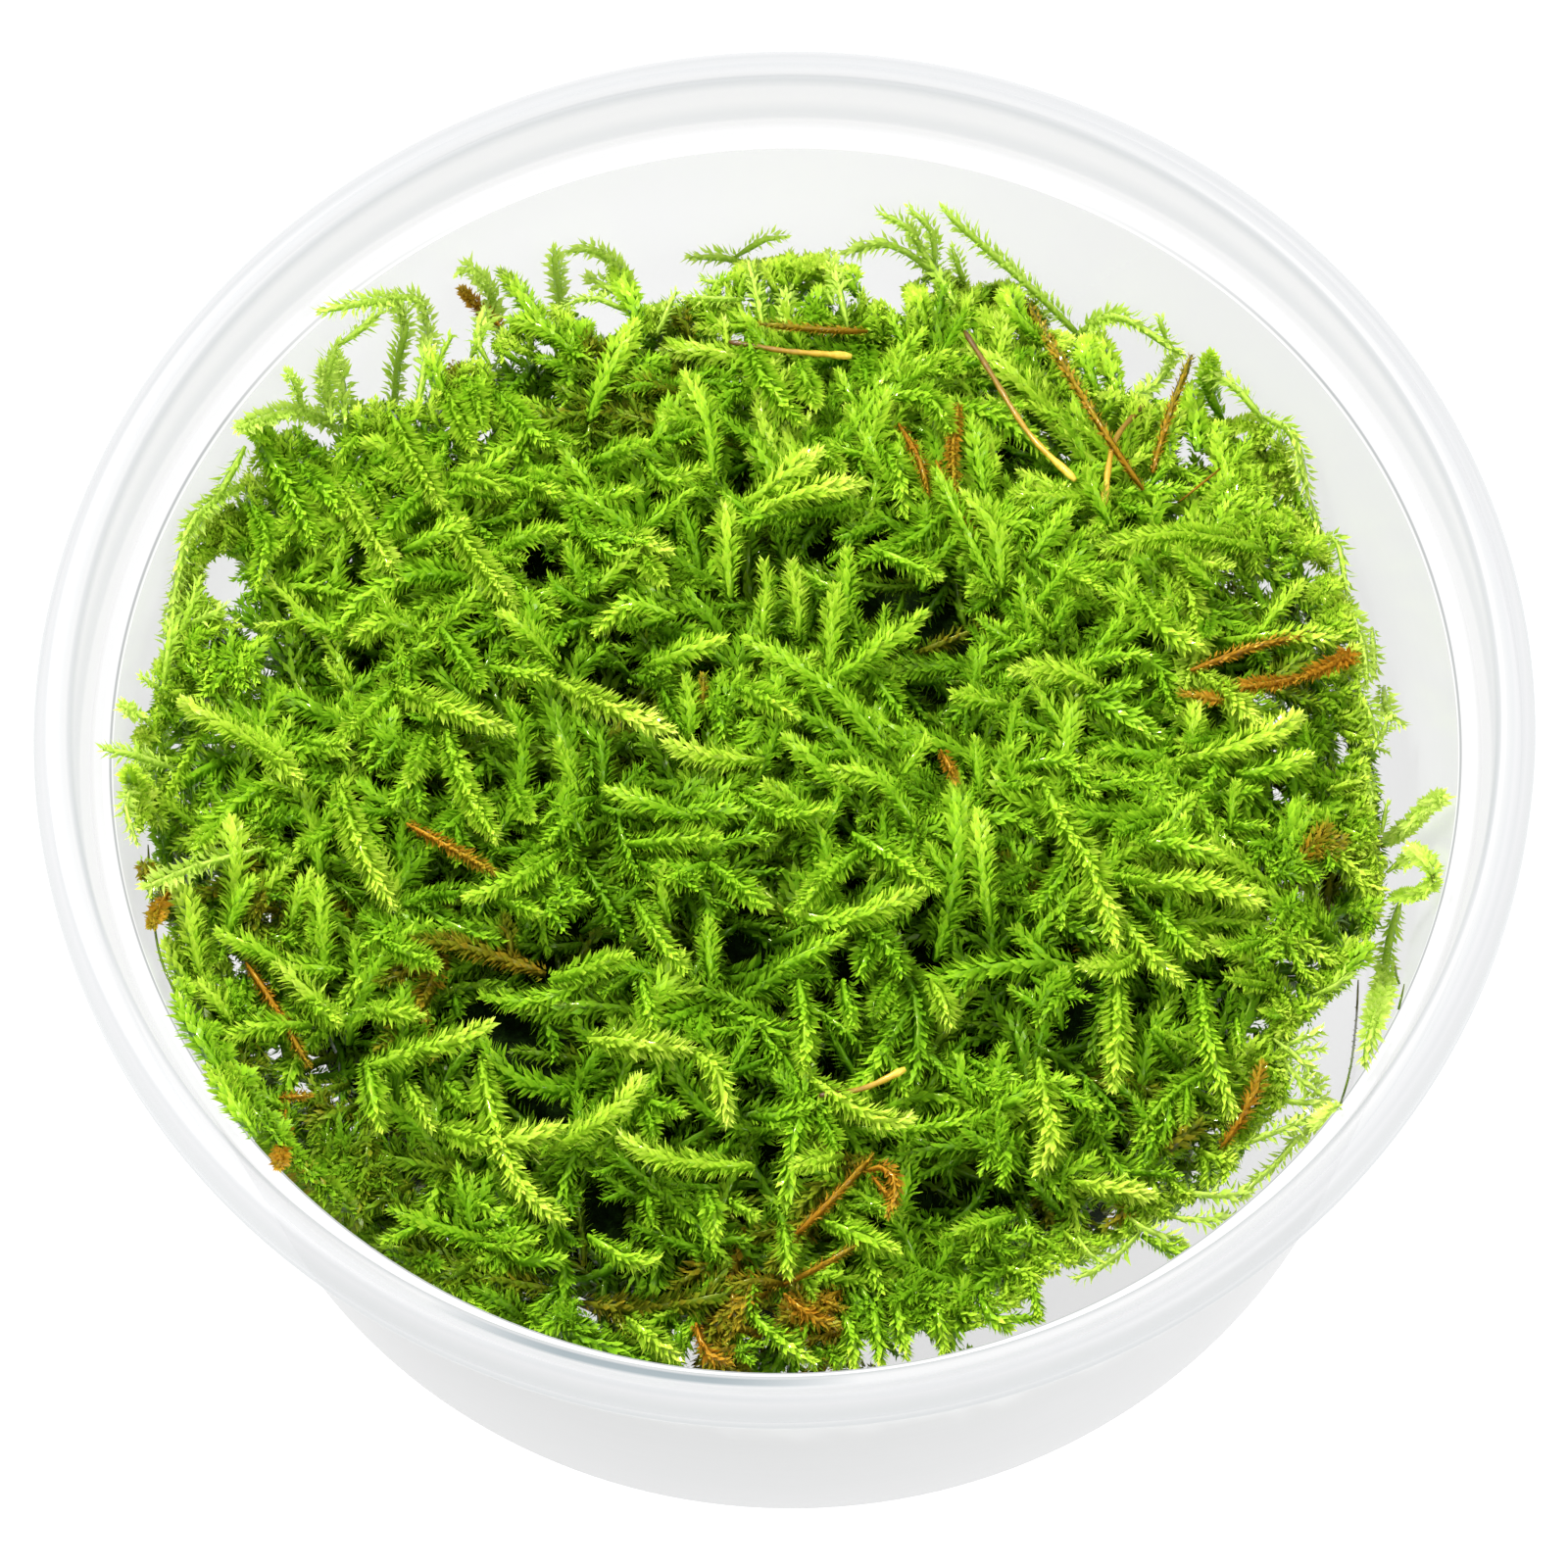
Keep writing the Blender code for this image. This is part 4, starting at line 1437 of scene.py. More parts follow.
    # Where the cushion is thick, at its edge and between the shoots: pixel, size in pixels, how
    # many short shoots and their age.
    thickets: tuple[tuple[float, float, float, int, float], ...] = (
        (205, 1015, 22, 5, 0.74), (222, 1058, 22, 5, 0.66), (245, 1098, 22, 6, 0.66),
        (262, 1130, 22, 6, 0.62), (285, 1165, 24, 6, 0.56), (290, 1200, 28, 9, 0.52),
        (330, 1130, 26, 6, 0.36), (350, 1185, 36, 16, 0.5), (375, 1205, 32, 12, 0.5),
        (320, 1235, 28, 8, 0.42), (228, 540, 22, 8, 0.85), (205, 568, 18, 6, 0.84),
        (190, 620, 22, 8, 0.82), (200, 660, 24, 8, 0.76), (240, 680, 28, 10, 0.7),
        (345, 388, 20, 7, 0.85), (512, 345, 18, 6, 0.8), (532, 328, 16, 5, 0.8),
        (1030, 295, 18, 6, 0.8), (1055, 312, 18, 5, 0.76), (1300, 440, 20, 8, 0.85),
        (1318, 480, 20, 8, 0.84), (1268, 480, 26, 10, 0.78), (1262, 528, 26, 10, 0.72),
        (1300, 540, 26, 8, 0.74), (1335, 525, 18, 6, 0.85), (1352, 562, 18, 6, 0.85),
        (1358, 600, 18, 6, 0.85), (1362, 635, 18, 5, 0.85), (1335, 860, 32, 14, 0.68),
        (1300, 870, 30, 8, 0.62), (1395, 812, 20, 6, 0.82), (1400, 845, 18, 5, 0.82),
        (1408, 750, 16, 4, 0.85), (1385, 990, 20, 6, 0.84), (1358, 1018, 22, 8, 0.82),
        (1325, 1038, 22, 8, 0.78), (1310, 1110, 20, 6, 0.78), (1212, 1228, 16, 5, 0.8),
        (1140, 1268, 16, 5, 0.8), (1095, 1288, 18, 6, 0.8), (985, 1338, 24, 8, 0.74),
        (940, 1345, 22, 8, 0.66), (850, 1372, 18, 8, 0.66), (832, 1345, 26, 10, 0.56),
        (885, 1340, 26, 10, 0.58), (930, 1330, 26, 10, 0.6), (865, 272, 18, 6, 0.85),
        (785, 265, 18, 6, 0.82), (460, 372, 18, 6, 0.8), (215, 625, 20, 8, 0.8),
        (1262, 505, 24, 10, 0.8), (750, 1368, 18, 6, 0.6), (579, 841, 30, 5, 0.66),
        (1182, 1146, 30, 5, 0.66), (1073, 1023, 30, 5, 0.66), (487, 1230, 30, 5, 0.66),
        (1000, 1097, 30, 5, 0.66), (760, 1326, 30, 5, 0.66), (1082, 1211, 30, 5, 0.66),
        (806, 1121, 30, 5, 0.66), (417, 671, 30, 5, 0.66), (740, 707, 30, 5, 0.66),
        (656, 385, 30, 5, 0.66), (535, 1273, 30, 5, 0.66), (1024, 1168, 30, 5, 0.66),
        (412, 936, 30, 5, 0.66), (403, 756, 30, 5, 0.66), (698, 897, 30, 5, 0.66),
        (568, 916, 30, 5, 0.66), (1010, 1275, 30, 5, 0.66), (700, 1375, 14, 3, 0.6),
        (208, 975, 20, 5, 0.78), (190, 930, 20, 5, 0.78), (343, 449, 22, 7, 0.72),
        (267, 446, 26, 8, 0.82), (263, 919, 22, 8, 0.5), (262, 1054, 22, 8, 0.56),
        (237, 1027, 20, 7, 0.66), (1015, 1350, 24, 8, 0.76), (1393, 983, 20, 7, 0.86),
        (584, 350, 20, 6, 0.7), (202, 573, 22, 7, 0.82), (1024, 284, 24, 7, 0.84),
        (663, 301, 20, 6, 0.82), (545, 294, 24, 7, 0.84), (1107, 367, 20, 7, 0.7),
        (1197, 450, 20, 7, 0.76), (445, 381, 24, 8, 0.74), (1327, 581, 20, 7, 0.74),
        (1240, 434, 18, 6, 0.8), (113, 796, 18, 5, 0.88), (1190, 1275, 20, 6, 0.84),
        (1423, 896, 20, 7, 0.88), (1419, 870, 18, 6, 0.88), (133, 741, 18, 5, 0.88),
        (1366, 1022, 20, 6, 0.86), (1140, 337, 20, 6, 0.8), (134, 883, 18, 6, 0.84),
        (1335, 556, 18, 6, 0.82), (576, 1337, 20, 6, 0.62), (1330, 1084, 18, 6, 0.84),
        (1295, 966, 20, 7, 0.72), (148, 829, 18, 6, 0.82), (1320, 940, 20, 7, 0.7),
        (1154, 1235, 20, 6, 0.74), (240, 607, 18, 6, 0.72), (740, 276, 16, 5, 0.8),
        (1413, 746, 16, 5, 0.86), (318, 402, 18, 5, 0.84), (399, 476, 16, 5, 0.7),
        (334, 349, 16, 5, 0.86), (783, 252, 16, 4, 0.84), (1314, 1133, 16, 5, 0.84),
        (468, 307, 18, 5, 0.86), (839, 320, 16, 5, 0.74), (1401, 703, 14, 4, 0.86),
        (1323, 1048, 16, 5, 0.8), (238, 1134, 16, 5, 0.6),
    )
    thicket_width: float = 1.8
    wall_lift: float = -20.0

    # How far over the skin a shoot of the photograph runs, point by point, and its tip.
    shoot_lifts: tuple[float, ...] = (0.3, 1.5, 1.9, 1.9, 1.8, 1.7)
    tip_lift: float = 1.5

    # How far out the chance shoots start, where they begin to follow the rim, and the step of
    # their lines.
    chance_reach: float = 41.5
    chance_rim: float = 33.0
    chance_step: float = 0.8

    # How much of a hole stays free, down to which layer, and what a shoot lost there counts.
    hole_share: float = 0.62
    hole_depth: float = 3.0
    hole_cost: float = 0.25
    thicket_top: float = 37.0

    # Deep holes between the shoots, by their place in the photograph and their size in mm.
    holes: tuple[tuple[float, float, float], ...] = (
        (562, 580, 2.0), (646, 706, 2.5), (954, 650, 1.8), (950, 710, 2.9), (930, 958, 2.5),
        (975, 965, 1.8), (480, 990, 1.8), (534, 1010, 1.8), (450, 900, 1.8), (450, 795, 1.6),
        (310, 680, 1.6), (506, 706, 1.8), (1010, 1015, 2.5), (1038, 1070, 1.6), (730, 1154, 1.4),
        (758, 1210, 1.6), (842, 1266, 1.6), (338, 1085, 2.9), (562, 1045, 1.8), (640, 760, 2.5),
        (590, 960, 2.1), (870, 895, 2.1), (785, 905, 2.1), (700, 960, 1.8), (965, 600, 2.5),
        (1255, 680, 3.0), (1215, 985, 2.2), (1305, 890, 1.8), (1090, 960, 2.0), (345, 1155, 1.8),
        (330, 1105, 2.9), (1000, 1040, 1.8), (625, 1240, 2.0), (960, 1230, 2.6), (1120, 1240, 1.8),
        (520, 1040, 1.8), (850, 1085, 1.6), (621, 1277, 2.9), (761, 959, 2.9), (537, 1067, 2.5),
        (988, 1194, 2.5), (690, 1131, 2.1), (857, 973, 2.1), (733, 1184, 2.1), (770, 559, 2.1),
        (557, 781, 2.1), (820, 544, 2.1), (542, 1129, 2.1),
    )

    # Olive and brown spots: place in the photograph, radius in mm, age there.
    spots: tuple[tuple[float, float, float, float], ...] = (
        (620, 350, 1.8, 0.26), (700, 335, 1.8, 0.28), (660, 410, 2.4, 0.3), (600, 425, 1.8, 0.28),
        (545, 415, 1.5, 0.2), (505, 475, 1.5, 0.22), (465, 380, 1.5, 0.22), (370, 945, 1.8, 0.2),
        (460, 975, 1.8, 0.22), (300, 955, 1.6, 0.22), (270, 930, 1.6, 0.24), (230, 890, 1.8, 0.2),
        (180, 865, 1.5, 0.18), (165, 925, 1.5, 0.2), (315, 1075, 2.2, 0.16),
        (275, 1080, 1.8, 0.28), (395, 1010, 2.2, 0.18), (410, 1265, 2.2, 0.3),
        (460, 1285, 2.0, 0.28), (395, 1215, 2.4, 0.34), (1275, 615, 2.0, 0.24),
        (1215, 610, 1.8, 0.22), (1245, 715, 2.6, 0.18), (1330, 705, 2.4, 0.22),
        (1360, 830, 1.8, 0.14), (1355, 850, 1.4, 0.16), (1045, 885, 1.5, 0.12),
        (1105, 1235, 2.4, 0.18), (830, 1205, 2.8, 0.24), (790, 1290, 2.2, 0.2),
        (835, 1335, 2.6, 0.14), (850, 1285, 2.0, 0.2), (725, 1365, 2.0, 0.14),
        (700, 1335, 1.8, 0.22), (755, 1345, 1.8, 0.16), (1230, 1150, 1.8, 0.24),
    )

    def __post_init__(self) -> None:
        """Finds where the holes and spots lie."""
        self.chance = np.random.default_rng(5)
        self.hole_spots = np.array(
            [[*self.sight.place((x, y), -1.0)[:2], size] for x, y, size in self.holes]
        )
        self.old_spots = np.array(
            [[*self.sight.place((x, y), 0.0)[:2], size, age] for x, y, size, age in self.spots]
        )

    def grower(self) -> ShootGrower:
        """Gives the grower that still has room, or starts the next one.

        Returns:
            The grower.
        """
        if not self.growers or self.growers[-1].triangles() > self.piece_limit:
            self.growers.append(ShootGrower(self.leaf, seed=100 + len(self.growers)))
        return self.growers[-1]

    def aged(self, line: np.ndarray, age: float) -> float:
        """Gives a shoot's age, older where it crosses a brown spot.

        Args:
            line: The shoot's line.
            age: Its age elsewhere.

        Returns:
            The age to use.
        """
        middle = line[len(line) * 2 // 3, :2]
        away = np.hypot(*(self.old_spots[:, :2] - middle).T) / self.old_spots[:, 2]
        nearest = int(np.argmin(away))
        old = away[nearest] < 1.0 and self.chance.random() < 0.65
        return float(self.old_spots[nearest, 3]) + 0.05 if old else age

    def over_hole(self, line: np.ndarray) -> bool:
        """Tells whether a line crosses one of the deep holes.

        Args:
            line: The line's points in millimetres.

        Returns:
            True where it does.
        """
        away = line[:, None, :2] - self.hole_spots[:, :2]
        gaps = np.hypot(away[:, :, 0], away[:, :, 1])
        return bool(np.any(gaps < self.hole_spots[:, 2] * self.hole_share))

    def in_cup(self, line: np.ndarray) -> np.ndarray:
        """Draws a line in, so that the leaves along it stay off the cup's wall.

        Args:
            line: The line's points in millimetres.

        Returns:
            The line with its points near the wall moved inwards.
        """
        out = np.maximum(np.hypot(line[:, 0], line[:, 1]), 1e-6)
        room = self.sight.cup.wall(np.minimum(line[:, 2], self.cup_top)) - self.cup_gap
        drawn = line.copy()
        drawn[:, :2] *= np.minimum(room / out, 1.0)[:, None]
        return drawn

    def within_edge(self, line: np.ndarray) -> np.ndarray:
        """Cuts off what the photograph shows as bare plastic, and keeps the longest rest.

        Args:
            line: The line's points in millimetres.

        Returns:
            The part of the line that the photograph allows.
        """
        seen = self.sight.camera.pixels(line)
        middle = np.array(self.edge_middle)
        x, y = (middle + (seen - middle) * self.edge_scale).T
        inside = np.zeros(len(line), dtype=bool)
        for (x0, y0), (x1, y1) in zip(self.edge, self.edge[1:] + self.edge[:1]):
            if y0 == y1:
                continue
            crossed = (y0 > y) != (y1 > y)
            inside ^= crossed & (x < x0 + (y - y0) * (x1 - x0) / (y1 - y0))
        for x0, y0, size in self.bare:
            inside &= np.hypot(seen[:, 0] - x0, seen[:, 1] - y0) > size + self.bare_margin
        stops = np.nonzero(~inside)[0]
        if len(stops) == 0:
            return line
        bounds = [-1, *stops, len(line)]
        start, end = max(zip(bounds, bounds[1:]), key=lambda pair: pair[1] - pair[0])
        return line[start + 1 : end]

    def branch(
        self, line: np.ndarray, age: float, width: float, light: float, leafy: float
    ) -> None:
        """Grows a shoot with its side branches.

        Args:
            line: The main shoot's line.
            age: Its age.
            width: Its width in millimetres.
            light: How light its leaves are, as painted shade.
            leafy: Its share of leaves.
        """
        grower = self.grower()
        grower.grow(Shoot(line, age, width, light, leafy, hidden_side=True))
        steps = np.linalg.norm(np.diff(line, axis=0), axis=1)
        length = float(steps.sum())
        along = np.concatenate([[0.0], np.cumsum(steps)])
        way = self.chance.uniform(1.5, 3.0)
        hand = 1 if self.chance.random() < 0.5 else -1
        while way < length - 2.0:
            i = int(np.searchsorted(along, way))
            i = min(max(i, 1), len(line) - 2)
            tangent = unit(line[i + 1] - line[i - 1])
            sideways = unit(np.cross(tangent, np.array([0.0, 0.0, 1.0])))
            angle = self.branch_angle * self.chance.normal(1, 0.2)
            heading = math.cos(angle) * tangent + hand * math.sin(angle) * sideways
            reach = self.chance.uniform(*self.branch_length) * (1 - 0.45 * way / length)
            share = np.linspace(0, 1, 7)[:, None]
            bend = tangent * 0.22 * reach
            side = line[i] + heading * reach * share + bend * share**2
            side[:, 2] += (self.chance.normal(0.0, 0.25) * reach) * share[:, 0]
            side = self.within_edge(self.in_cup(side))
            if len(side) > 3 and not self.over_hole(side):
                grower.grow(Shoot(side, age + 0.02, width * 0.86, light, leafy, hidden_side=True))
            hand = -hand
            way += self.branch_gap * self.chance.uniform(0.6, 1.5)

    def chance_line(self, depth: float) -> np.ndarray:
        """Draws a chance line over the cushion.

        Args:
            depth: How far under the skin it runs.

        Returns:
            The line's points.
        """
        out = self.chance_reach * math.sqrt(self.chance.uniform(0, 1))
        azimuth = self.chance.uniform(0, 2 * math.pi)
        spot = np.array([out * math.cos(azimuth), out * math.sin(azimuth)])
        heading = self.chance.uniform(0, 2 * math.pi)
        if out > self.chance_rim:
            heading = azimuth + self.chance.normal(0, 1.0)
            heading += math.pi * (self.chance.random() < self.turned_share)
        length = self.chance.uniform(*self.chance_length)
        bend = self.chance.normal(0, self.chance_bend)
        count = int(length / self.chance_step)
        turn = heading + bend * np.arange(count)
        steps = self.chance_step * np.stack([np.cos(turn), np.sin(turn)], axis=1)
        flat = spot + np.cumsum(steps, axis=0)
        share = np.linspace(0, 1, count)
        rise = -1.6 * (1 - share) ** 1.5 + self.chance.normal(0.5, 0.5) * np.sin(share * math.pi)
        rise = rise + self.chance.normal(0.3, 0.8) * share**2
        azimuths = np.arctan2(flat[:, 1], flat[:, 0])
        keep = np.hypot(flat[:, 0], flat[:, 1]) < self.mound.edge_radius(azimuths) + 0.6
        height = self.mound.height(flat[:, 0], flat[:, 1]) - depth + rise
        return np.column_stack([flat, height])[keep]

    def painted_edge_light(self, line: np.ndarray) -> float:
        """Gives the painted light along the rim: how much paler the shoots are made towards the
        rim, most of all at the right and at the back.

        Args:
            line: The line's points in millimetres.

        Returns:
            What is added to the shoot's age.
        """
        x, y = line[len(line) // 2, :2]
        out = min(math.hypot(x, y) / self.rim_from, 1.0)
        right = min(max(x / self.side_from, -0.5), 1.0)
        back = min(max(y / self.side_from, -1.0), 1.0)
        by_rim, by_right, by_back = self.painted_light_ages
        return by_rim * out**3 + by_right * right + by_back * back

    def chance_shoots(self) -> None:
        """Grows the layers of chance shoots from the deepest up, thinned out over the holes."""
        for depth, count, age, light, leafy in self.layers:
            made = 0.0
            while made < count:
                line = self.within_edge(self.in_cup(self.chance_line(depth)))
                if len(line) < 6:
                    continue
                if depth < self.hole_depth and self.over_hole(line):
                    made += self.hole_cost
                    continue
                made += 1
                grown = self.aged(line, age + self.chance.normal(0, self.age_chance))
                # Painted light: shoots paler towards the rim.
                grown += self.painted_edge_light(line)
                self.branch(line, grown, self.chance.normal(*self.shoot_width), light, leafy)

    def flank(self) -> None:
        """Grows shoots down the flank, which show through the cup's wall."""
        for _ in range(self.flank_shoots):
            azimuth = self.chance.uniform(-math.pi, math.pi)
            share = self.chance.uniform(*self.flank_start)
            drift = self.chance.normal(0, self.flank_drift)
            fall = self.chance.uniform(-self.flank_fall, self.flank_fall)
            steps = np.linspace(0, 1, 9)
            down = np.clip(share + fall * steps, 0.0, self.flank_end)
            ways = zip(azimuth + drift * steps, down)
            line = np.array([self.mound.flank(*way) for way in ways])
            line[:, :2] *= (1 - 0.02 + 0.035 * steps * self.chance.random())[:, None]
            line[:, 2] = np.maximum(line[:, 2], self.flank_foot)
            out = np.hypot(line[:, 0], line[:, 1])
            room = self.sight.cup.wall(line[:, 2]) - self.flank_gap
            line[:, :2] *= np.minimum(room / out, 1.0)[:, None]
            line = self.within_edge(line)
            if len(line) < 4:
                continue
            age = self.chance.normal(*self.flank_age)
            width = self.chance.normal(*self.flank_width)
            self.grower().grow(Shoot(line, age, width, 0.85, 0.6))

    def fringe(self) -> None:
        """Grows short shoots all along the cushion's edge, from inside it to its outline."""
        middle = np.array(self.edge_middle)
        for start, end in zip(self.edge[: self.edge_end], self.edge[1 : self.edge_end + 1]):
            first, way = np.array(start, dtype=float), np.subtract(end, start).astype(float)
            for step in range(max(int(np.hypot(*way) / self.fringe_step), 1)):
                share = (step + self.chance.random()) * self.fringe_step
                tip = first + way * share / np.hypot(*way)
                inwards = unit(middle - tip)
                across = np.array([-inwards[1], inwards[0]])
                lean = self.chance.normal(0.0, self.fringe_lean)
                reach = self.fringe_root * self.chance.uniform(*self.fringe_reach)
                root = tip + reach * unit(inwards + lean * across)
                bend = (root + tip) / 2 + across * self.chance.normal(0.0, self.fringe_bend)
                tip = tip + inwards * self.chance.uniform(*self.fringe_inset)
                lifts = (-1.0, 0.5, self.chance.uniform(0.0, self.fringe_lift))
                stops = (root, bend, tip)
                points = [self.sight.place(tuple(q), up) for q, up in zip(stops, lifts)]
                line = self.within_edge(self.in_cup(smooth_line(np.array(points), 0.8)))
                if len(line) < 4:
                    continue
                # Painted light: shoots paler towards the rim.
                age = self.painted_edge_light(line) + self.chance.normal(*self.fringe_age)
                age = self.aged(line, min(age, 0.93))
                width = self.fringe_width * self.chance.normal(1.0, self.width_chance)
                self.grower().grow(Shoot(line, age, width, 1.0, hidden_side=True))

    def thicken(self) -> None:
        """Grows short shoots where the photograph shows the cushion thick."""
        for x, y, size, count, age in self.thickets:
            for _ in range(count):
                heading = self.chance.uniform(0, 2 * math.pi)
                reach = size * np.array([math.cos(heading), math.sin(heading)])
                middle = np.array([x, y]) + size * self.chance.uniform(-0.6, 0.6, 2)
                stops = (middle - reach, middle + 0.2 * reach[::-1], middle + reach)
                lifts = (-1.0, 0.2, self.chance.uniform(-0.4, 0.9))
                points = [self.sight.place(tuple(q), up) for q, up in zip(stops, lifts)]
                line = smooth_line(np.array(points), 0.6)
                line[:, 2] = np.minimum(line[:, 2], self.thicket_top)
                line = self.within_edge(self.in_cup(line))
                if len(line) < 4:
                    continue
                grown = self.aged(line, age + self.chance.normal(0, 0.04))
                width = self.thicket_width * self.chance.normal(1.0, self.width_chance)
                self.grower().grow(Shoot(line, grown, width, 0.95, 0.85, hidden_side=True))

    def heart(self) -> bpy.types.Object:
        """Makes the heart of the cushion, set in from the tips of the leaves and painted nearly
        black as shade.

        Returns:
            The heart.
        """
        select_nothing()
        bpy.ops.mesh.primitive_uv_sphere_add(segments=96, ring_count=48, radius=1.0)
        made = bpy.context.object
        made.name = "moss_heart"
        for v in made.data.vertices:
            azimuth = math.atan2(v.co.y, v.co.x)
            polar = math.acos(max(-1.0, min(1.0, v.co.z)))
            if polar <= math.pi / 2:
                out = (self.mound.edge_radius(azimuth) - self.heart_inset) * polar / (math.pi / 2)
                x, y = out * math.cos(azimuth), out * math.sin(azimuth)
                height = float(self.mound.height(np.array(x), np.array(y))) - self.heart_depth
                v.co = Vector((x, y, height)) * MM
                continue
            share = (polar - math.pi / 2) / (math.pi / 2)
            if share < 0.8:
                point = self.mound.flank(azimuth, share / 0.8)
                scale = (np.hypot(*point[:2]) - self.heart_inset) / np.hypot(*point[:2])
                depth = self.heart_depth * (1 - share / 0.8)
                v.co = Vector((point[0] * scale, point[1] * scale, point[2] - depth)) * MM
            else:
                out = (self.mound.foot_radius - self.heart_inset) * (1 - (share - 0.8) / 0.2)
                x, y = out * math.cos(azimuth), out * math.sin(azimuth)
                v.co = Vector((x, y, self.mound.foot_height)) * MM
        bpy.ops.object.shade_smooth()
        made.data.materials.append(HeartFinish().build())
        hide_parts("moss_mat")
        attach(made, "root")
        return made

    def build(self, finish: bpy.types.Material, young_painted_glow_finish: bpy.types.Material) -> None:
        """Builds the whole cushion.

        Args:
            finish: The leaves' material.
            young_painted_glow_finish: The material of the thin pale shoots at the edge.
        """
        self.heart()
        self.flank()
        self.chance_shoots()
        self.fringe()
        self.thicken()
        young = ShootGrower(self.leaf, 200, *YOUNG_LEAVES)
        for kind in PHOTO_SHOOTS:
            for route in kind.routes:
                grower = young if kind.age is Age.PALE else self.grower()
                grower.grow(self.photo_shoot(route, kind))
        pieces = [
            (f"moss_shoots_{number}", grower, finish)
            for number, grower in enumerate(self.growers, 1)
        ]
        pieces.append(("young_moss_shoots", young, young_painted_glow_finish))
        for name, grower, leaves in pieces:
            piece = grower.build(name, leaves)
            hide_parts("moss_mat")

    def photo_shoot(self, route: Route, kind: ShootKind) -> Shoot:
        """Lays out one shoot that the photograph shows.

        Args:
            route: Its pixels from root to tip.
            kind: What kind of shoot it is.

        Returns:
            The shoot, ready to grow.
        """
        count = len(route)
        lifts = [*self.shoot_lifts[: count - 1], self.tip_lift]
        if kind.on_wall:
            lifts = [self.wall_lift] * count
        points = np.array([self.sight.place(p, lift) for p, lift in zip(route, lifts)])
        line = smooth_line(points, 0.8)
        width = kind.width * self.chance.normal(1.0, 0.06)
        age = kind.age.value + self.chance.normal(0, 0.03)
        return Shoot(line, age, width, 1.05, kind.leafy, kind.opening, kind.body)


# Shoots read from the photograph, by pixel from root to tip.
BRIGHT_SHOOTS: tuple[Route, ...] = (
    ((206, 1000), (198, 960), (192, 922), (176, 902)), ((348, 1042), (316, 1014), (284, 984)),
    ((238, 1048), (224, 1022), (204, 1004)), ((398, 420), (420, 465), (447, 512)),
    ((345, 495), (372, 535), (405, 590)), ((752, 520), (795, 490), (833, 462)),
    ((752, 535), (810, 505), (880, 492)), ((745, 610), (742, 560), (742, 510)),
    ((630, 540), (655, 552), (682, 562)), ((270, 765), (230, 740), (185, 715)),
    ((262, 760), (285, 778), (305, 795)), ((400, 700), (455, 722), (520, 745)),
    ((345, 800), (365, 860), (400, 925)), ((565, 695), (625, 722), (685, 745)),
    ((780, 775), (725, 772), (680, 758)), ((1290, 560), (1200, 545), (1125, 560)),
    ((1125, 705), (1100, 688), (1070, 682), (1035, 684)), ((1230, 690), (1255, 710), (1285, 738)),
    ((1200, 775), (1250, 765), (1300, 745), (1325, 730)),
    ((1065, 800), (1085, 840), (1105, 870), (1125, 915), (1140, 965)),
    ((1160, 905), (1210, 900), (1250, 908), (1285, 922)), ((1140, 930), (1170, 970), (1205, 1000)),
    ((1165, 970), (1140, 985), (1105, 985)), ((560, 1175), (600, 1150), (630, 1130), (655, 1100)),
    ((770, 1190), (720, 1188), (670, 1180), (635, 1160)),
    ((820, 1095), (870, 1130), (905, 1145), (930, 1140)),
    ((490, 1080), (500, 1130), (515, 1180), (540, 1220), (575, 1245)),
    ((445, 1150), (480, 1160), (520, 1165), (570, 1150)),
    ((370, 1090), (430, 1070), (470, 1060), (500, 1045)),
    ((1090, 1205), (1130, 1210), (1175, 1220)), ((600, 1060), (650, 1065), (700, 1070)),
    ((700, 1070), (730, 1090), (742, 1145)), ((1215, 770), (1217, 745), (1220, 720)),
    ((950, 1000), (962, 1022), (970, 1045)), ((860, 1180), (835, 1182), (810, 1190)),
    ((1140, 1000), (1140, 1060), (1135, 1110)),
    ((1060, 1080), (1065, 1120), (1075, 1160), (1060, 1195)),
    ((640, 1345), (665, 1365), (690, 1385)),
)

